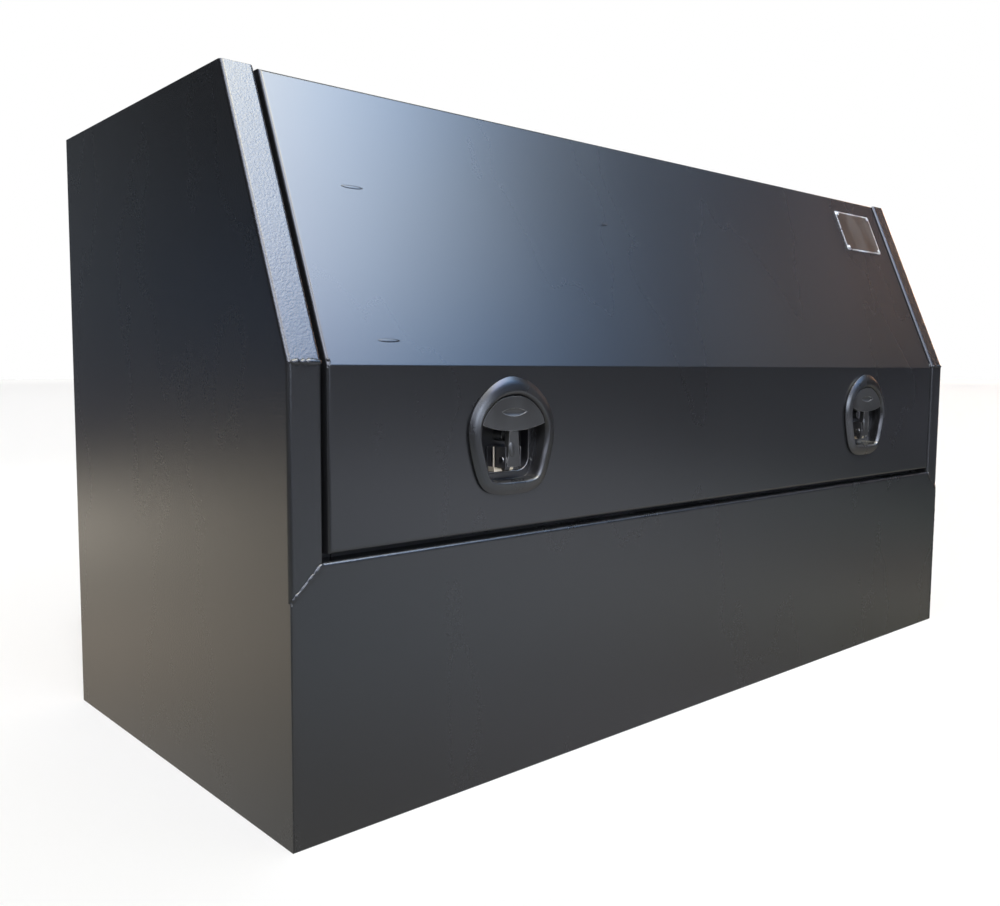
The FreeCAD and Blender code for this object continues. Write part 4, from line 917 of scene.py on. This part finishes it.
    def dish_lip(self) -> bmesh.types.BMesh:
        """The rolled edge round the dish.

        Returns:
            The mesh of the roll.
        """
        shape = bmesh.new()
        route = self.dish_route()
        places = []
        for index, point in enumerate(route):
            along = (route[(index + 1) % len(route)] - route[index - 1]).normalized()
            outward = along.cross(Y_AXIS)
            places.append(frame_at(point, outward * self.roll_radius, Y_AXIS * self.roll_radius, along))
        sweep(shape, places, self.roll_sides, closed=True)
        close_shape(shape)
        return shape

    def stem_swell(self) -> bmesh.types.BMesh:
        """The rounded swelling on the left edge of the handle's stem.

        Returns:
            The mesh of the swelling.
        """
        shape = bmesh.new()
        ball = bmesh.ops.create_uvsphere(shape, u_segments=32, v_segments=16, radius=1.0)["verts"]
        size = Matrix.Diagonal((*self.swell_size, 1.0))
        turn = Matrix.Rotation(math.radians(self.swell_turn), 4, "Y")
        place = Matrix.Translation(self.place(*self.swell_place))
        bmesh.ops.transform(shape, matrix=place @ turn @ size, verts=ball)
        close_shape(shape)
        return shape

    def soften(self, node: str, width: float) -> bmesh.types.BMesh:
        """A copy of a node's shape with its sharp edges rounded.

        Args:
            node: The node that is copied.
            width: The width of the rounding.

        Returns:
            The merged and rounded shape.
        """
        shape = bmesh.new()
        shape.from_mesh(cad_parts[node].data)
        bmesh.ops.remove_doubles(shape, verts=shape.verts, dist=self.merge_gap)
        bmesh.ops.dissolve_limit(
            shape, angle_limit=math.radians(self.flat_turn), use_dissolve_boundaries=False,
            verts=shape.verts, edges=shape.edges,
        )
        sharp = [edge for edge in shape.edges if self.turns(edge, self.sharp_turn)]
        bmesh.ops.bevel(
            shape, geom=sharp, offset=width, offset_type="OFFSET", affect="EDGES", segments=3, profile=0.5,
            material=-1, clamp_overlap=True,
        )
        for face in shape.faces:
            face.smooth = True
        for edge in shape.edges:
            edge.smooth = not self.turns(edge, self.crease_turn)
        return shape

    @staticmethod
    def turns(edge: bmesh.types.BMEdge, degrees: float) -> bool:
        """Whether two faces meet at an edge with more than a turn."""
        return len(edge.link_faces) == 2 and edge.calc_face_angle(0.0) > math.radians(degrees)


@dataclass(frozen=True)
class Glow:
    """A soft round patch of light on the tent or on the ground card.

    On the tent its place is an azimuth, from the front round to the right, and an elevation in degrees,
    and its spread an angle. On the ground card its place is X and Y and its spread a radius, in metres.
    """

    across: float
    up: float
    spread: float
    light: tuple[float, float, float]


# Low lights round the box, as a wall, a yard and the sky behind them would give
LOW_GLOWS = (
    Glow(-144.0, 2.0, 14.0, (0.15, 0.3, 0.6)),
    Glow(-75.0, 2.0, 16.0, (1.2, 1.3, 1.5)),
    Glow(5.0, 18.0, 20.0, (12.0, 13.5, 16.5)),
    Glow(102.0, 12.0, 14.0, (37.0, 21.0, 12.0)),
    Glow(66.0, 22.0, 14.0, (0.3, 0.3, 0.25)),
    Glow(79.0, 22.0, 14.0, (0.25, 0.1, 0.05)),
    Glow(180.0, 10.0, 30.0, (0.42, 0.46, 0.5)),
)
# The sky, which the slope of the lid and the left flange reflect, bluer towards the horizon
SKY_GLOWS = (
    Glow(-40.0, 44.0, 36.0, (13.0, 14.0, 17.0)),
    Glow(46.0, 32.0, 14.0, (1.0, 2.7, 5.8)),
    Glow(30.0, 42.0, 14.0, (5.8, 7.3, 14.0)),
    Glow(46.0, 42.0, 14.0, (7.7, 9.3, 11.0)),
    Glow(54.0, 52.0, 14.0, (1.2, 4.3, 10.0)),
    Glow(25.0, 62.0, 28.0, (29.0, 28.0, 24.0)),
    Glow(140.0, 35.0, 42.0, (1.3, 1.4, 1.5)),
    Glow(0.0, 90.0, 30.0, (2.5, 2.7, 2.9)),
)
# Lit stretches of ground, which the upright panels reflect
GROUND_GLOWS = (
    Glow(-1.9, -0.4, 2.2, (0.77, 0.79, 0.68)),
    Glow(-1.9, 2.0, 2.2, (1.9, 1.7, 1.4)),
    Glow(-1.1, 0.4, 1.0, (0.7, 0.57, 0.46)),
    Glow(-0.3, -1.2, 1.0, (0.66, 0.8, 0.92)),
    Glow(-0.3, -0.4, 1.0, (0.44, 0.42, 0.46)),
    Glow(0.5, -1.2, 1.0, (0.86, 0.9, 0.97)),
    Glow(0.5, -0.4, 1.0, (0.3, 0.29, 0.23)),
    Glow(1.3, -2.8, 2.2, (2.1, 2.2, 2.5)),
    Glow(1.3, -0.4, 1.0, (0.35, 0.32, 0.28)),
    Glow(2.1, -1.2, 1.0, (0.35, 0.42, 0.37)),
    Glow(3.2, 2.6, 2.6, (0.9, 0.88, 0.85)),
    Glow(0.4, 2.8, 2.6, (1.0, 1.0, 1.0)),
)
GROUND_FAR = (0.18, 0.18, 0.22)


@dataclass
class Studio:
    """Pale floor, soft light, and the light tent and ground card that a dark satin box reflects."""

    floor_half: float = 60.0
    floor_tint: tuple[float, float, float] = (0.93, 0.925, 0.915)
    floor_roughness: float = 0.9
    key_azimuth: float = -35.0
    key_elevation: float = 55.0
    key_size: float = 25.0
    key_strength: float = 2.8
    ambient: float = 0.3
    tent_radius: float = 40.0
    card_radius: float = 39.0
    card_lift: float = 0.0005
    near_radius: float = 5.0
    near_blend: float = 0.5
    sensor_mm: float = 36.0
    lens_mm: float = 34.386
    shift: tuple[float, float] = (0.0833, 0.0025)
    camera_place: tuple[float, float, float] = (-1.24879, -1.11629, 0.49743)
    camera_dip: float = 0.0878901
    camera_turn: float = -0.682426
    camera_reach: float = 200.0

    def build(self) -> None:
        """Makes the floor, the world, the lamp, the tent, the ground card and the camera."""
        self.floor()
        self.world()
        self.key()
        self.tent()
        self.ground()
        self.camera()

    @staticmethod
    def heading(azimuth: float, elevation: float) -> Vector:
        """The direction at an azimuth, from the front round to the right, and an elevation."""
        turn, rise = math.radians(azimuth), math.radians(elevation)
        return Vector((math.sin(turn) * math.cos(rise), -math.cos(turn) * math.cos(rise), math.sin(rise)))

    @staticmethod
    def stand(name: str, shape: bmesh.types.BMesh, lift: float = 0.0) -> tuple[bpy.types.Object, Graph]:
        """Puts a piece of the stage in the scene.

        Args:
            name: Its name, and its material's.
            shape: Its mesh. It is freed.
            lift: Its height over the ground.

        Returns:
            The stage piece and the empty graph of its material.
        """
        mesh = bpy.data.meshes.new(name)
        shape.to_mesh(mesh)
        shape.free()
        piece = bpy.data.objects.new(name, mesh)
        bpy.context.scene.collection.objects.link(piece)
        piece.location.z = lift
        material = bpy.data.materials.new(name)
        material.use_nodes = True
        mesh.materials.append(material)
        return piece, Graph(material.node_tree)

    @staticmethod
    def glow(
        piece: bpy.types.Object, graph: Graph, parts: list[tuple[bpy.types.NodeSocket, tuple]]
    ) -> None:
        """Lets a stage piece shine for reflections only.

        Args:
            piece: The stage piece.
            graph: The graph of its material.
            parts: Its patches of light, each a share over the surface and a light.
        """
        total = None
        for share, light in parts:
            part = graph.add("ShaderNodeVectorMath", {"operation": "SCALE"}, in0=light, Scale=share).outputs[0]
            if total is not None:
                part = graph.add("ShaderNodeVectorMath", {"operation": "ADD"}, in0=total, in1=part).outputs[0]
            total = part
        shader = graph.add("ShaderNodeEmission", Color=total, Strength=1.0)
        graph.add("ShaderNodeOutputMaterial", Surface=shader.outputs[0])
        for ray in ("camera", "diffuse", "shadow", "volume_scatter"):
            setattr(piece, f"visible_{ray}", False)

    def floor(self) -> None:
        """A pale floor under the box."""
        shape = bmesh.new()
        bmesh.ops.create_grid(shape, x_segments=1, y_segments=1, size=self.floor_half)
        _, graph = self.stand("studio_floor", shape)
        shader = graph.add(
            "ShaderNodeBsdfPrincipled", Base_Color=colour(*self.floor_tint), Roughness=self.floor_roughness
        )
        graph.add("ShaderNodeOutputMaterial", Surface=shader.outputs[0])

    def world(self) -> None:
        """A white surrounding for the camera and for reflections, and a soft fill for everything else."""
        world = bpy.data.worlds.new("studio")
        world.use_nodes = True
        bpy.context.scene.world = world
        graph = Graph(world.node_tree)
        path = graph.add("ShaderNodeLightPath")
        seen = graph.math("MAXIMUM", path.outputs["Is Camera Ray"], path.outputs["Is Glossy Ray"])
        seen = graph.math("MAXIMUM", seen, path.outputs["Is Transmission Ray"])
        strength = graph.math("ADD", graph.math("MULTIPLY", seen, 1.0 - self.ambient), self.ambient)
        back = graph.add("ShaderNodeBackground", Color=colour(1.0, 1.0, 1.0), Strength=strength)
        graph.add("ShaderNodeOutputWorld", Surface=back.outputs[0])

    def key(self) -> None:
        """One broad soft light from high on the left. In reflections the tent stands in for it."""
        lamp = bpy.data.lights.new("key_light", "SUN")
        lamp.energy = self.key_strength
        lamp.angle = math.radians(self.key_size)
        holder = bpy.data.objects.new("key_light", lamp)
        bpy.context.scene.collection.objects.link(holder)
        away = self.heading(self.key_azimuth, self.key_elevation)
        holder.rotation_euler = away.to_track_quat("Z", "Y").to_euler()
        holder.visible_glossy = False

    def tent(self) -> None:
        """A light tent round everything, with soft patches of light."""
        shape = bmesh.new()
        bmesh.ops.create_icosphere(shape, subdivisions=4, radius=self.tent_radius)
        piece, graph = self.stand("light_tent", shape)
        place = graph.own_place()
        away = graph.add("ShaderNodeVectorMath", {"operation": "NORMALIZE"}, in0=place).outputs[0]
        parts = []
        for patch in LOW_GLOWS + SKY_GLOWS:
            toward = tuple(self.heading(patch.across, patch.up))
            turn = graph.add("ShaderNodeVectorMath", {"operation": "DOT_PRODUCT"}, in0=away, in1=toward)
            angle = graph.math("ARCCOSINE", turn.outputs["Value"])
            parts.append((graph.ramp(angle, math.radians(patch.spread), 0.0), patch.light))
        self.glow(piece, graph, parts)

    def ground(self) -> None:
        """A card on the floor, which takes the floor's place in reflections."""
        shape = bmesh.new()
        bmesh.ops.create_circle(shape, cap_ends=True, radius=self.card_radius, segments=64)
        piece, graph = self.stand("ground_card", shape, self.card_lift)
        place = graph.own_place()
        parts = []
        for patch in GROUND_GLOWS:
            centre = (patch.across, patch.up, 0.0)
            gap = graph.add("ShaderNodeVectorMath", {"operation": "DISTANCE"}, in0=place, in1=centre)
            parts.append((graph.ramp(gap.outputs["Value"], patch.spread, 0.0), patch.light))
        reach = graph.add("ShaderNodeVectorMath", {"operation": "LENGTH"}, in0=place).outputs["Value"]
        near, far = self.near_radius - self.near_blend, self.near_radius + self.near_blend
        parts.append((graph.ramp(reach, near, far), GROUND_FAR))
        self.glow(piece, graph, parts)

    def camera(self) -> None:
        """The camera of the photograph."""
        lens = bpy.data.cameras.new("camera")
        lens.sensor_width = self.sensor_mm
        lens.lens = self.lens_mm
        lens.shift_x, lens.shift_y = self.shift
        lens.clip_end = self.camera_reach
        holder = bpy.data.objects.new("camera", lens)
        bpy.context.scene.collection.objects.link(holder)
        holder.location = self.camera_place
        holder.rotation_euler = (math.pi / 2 - self.camera_dip, 0.0, self.camera_turn)
        bpy.context.scene.camera = holder


def main() -> None:
    """Dresses the toolbox and sets up the studio."""
    logging.basicConfig(level=logging.INFO, format="%(name)s %(message)s")
    bpy.context.scene.view_settings.view_transform = "Standard"
    shop = PaintShop()
    shop.dress_nodes()
    FoldedBox().build(shop)
    HalfLid().build(shop)
    Nameplate().build(shop)
    for end in End:
        Latch(end).build(shop)
    Studio().build()


if __name__ == "__main__":
    main()
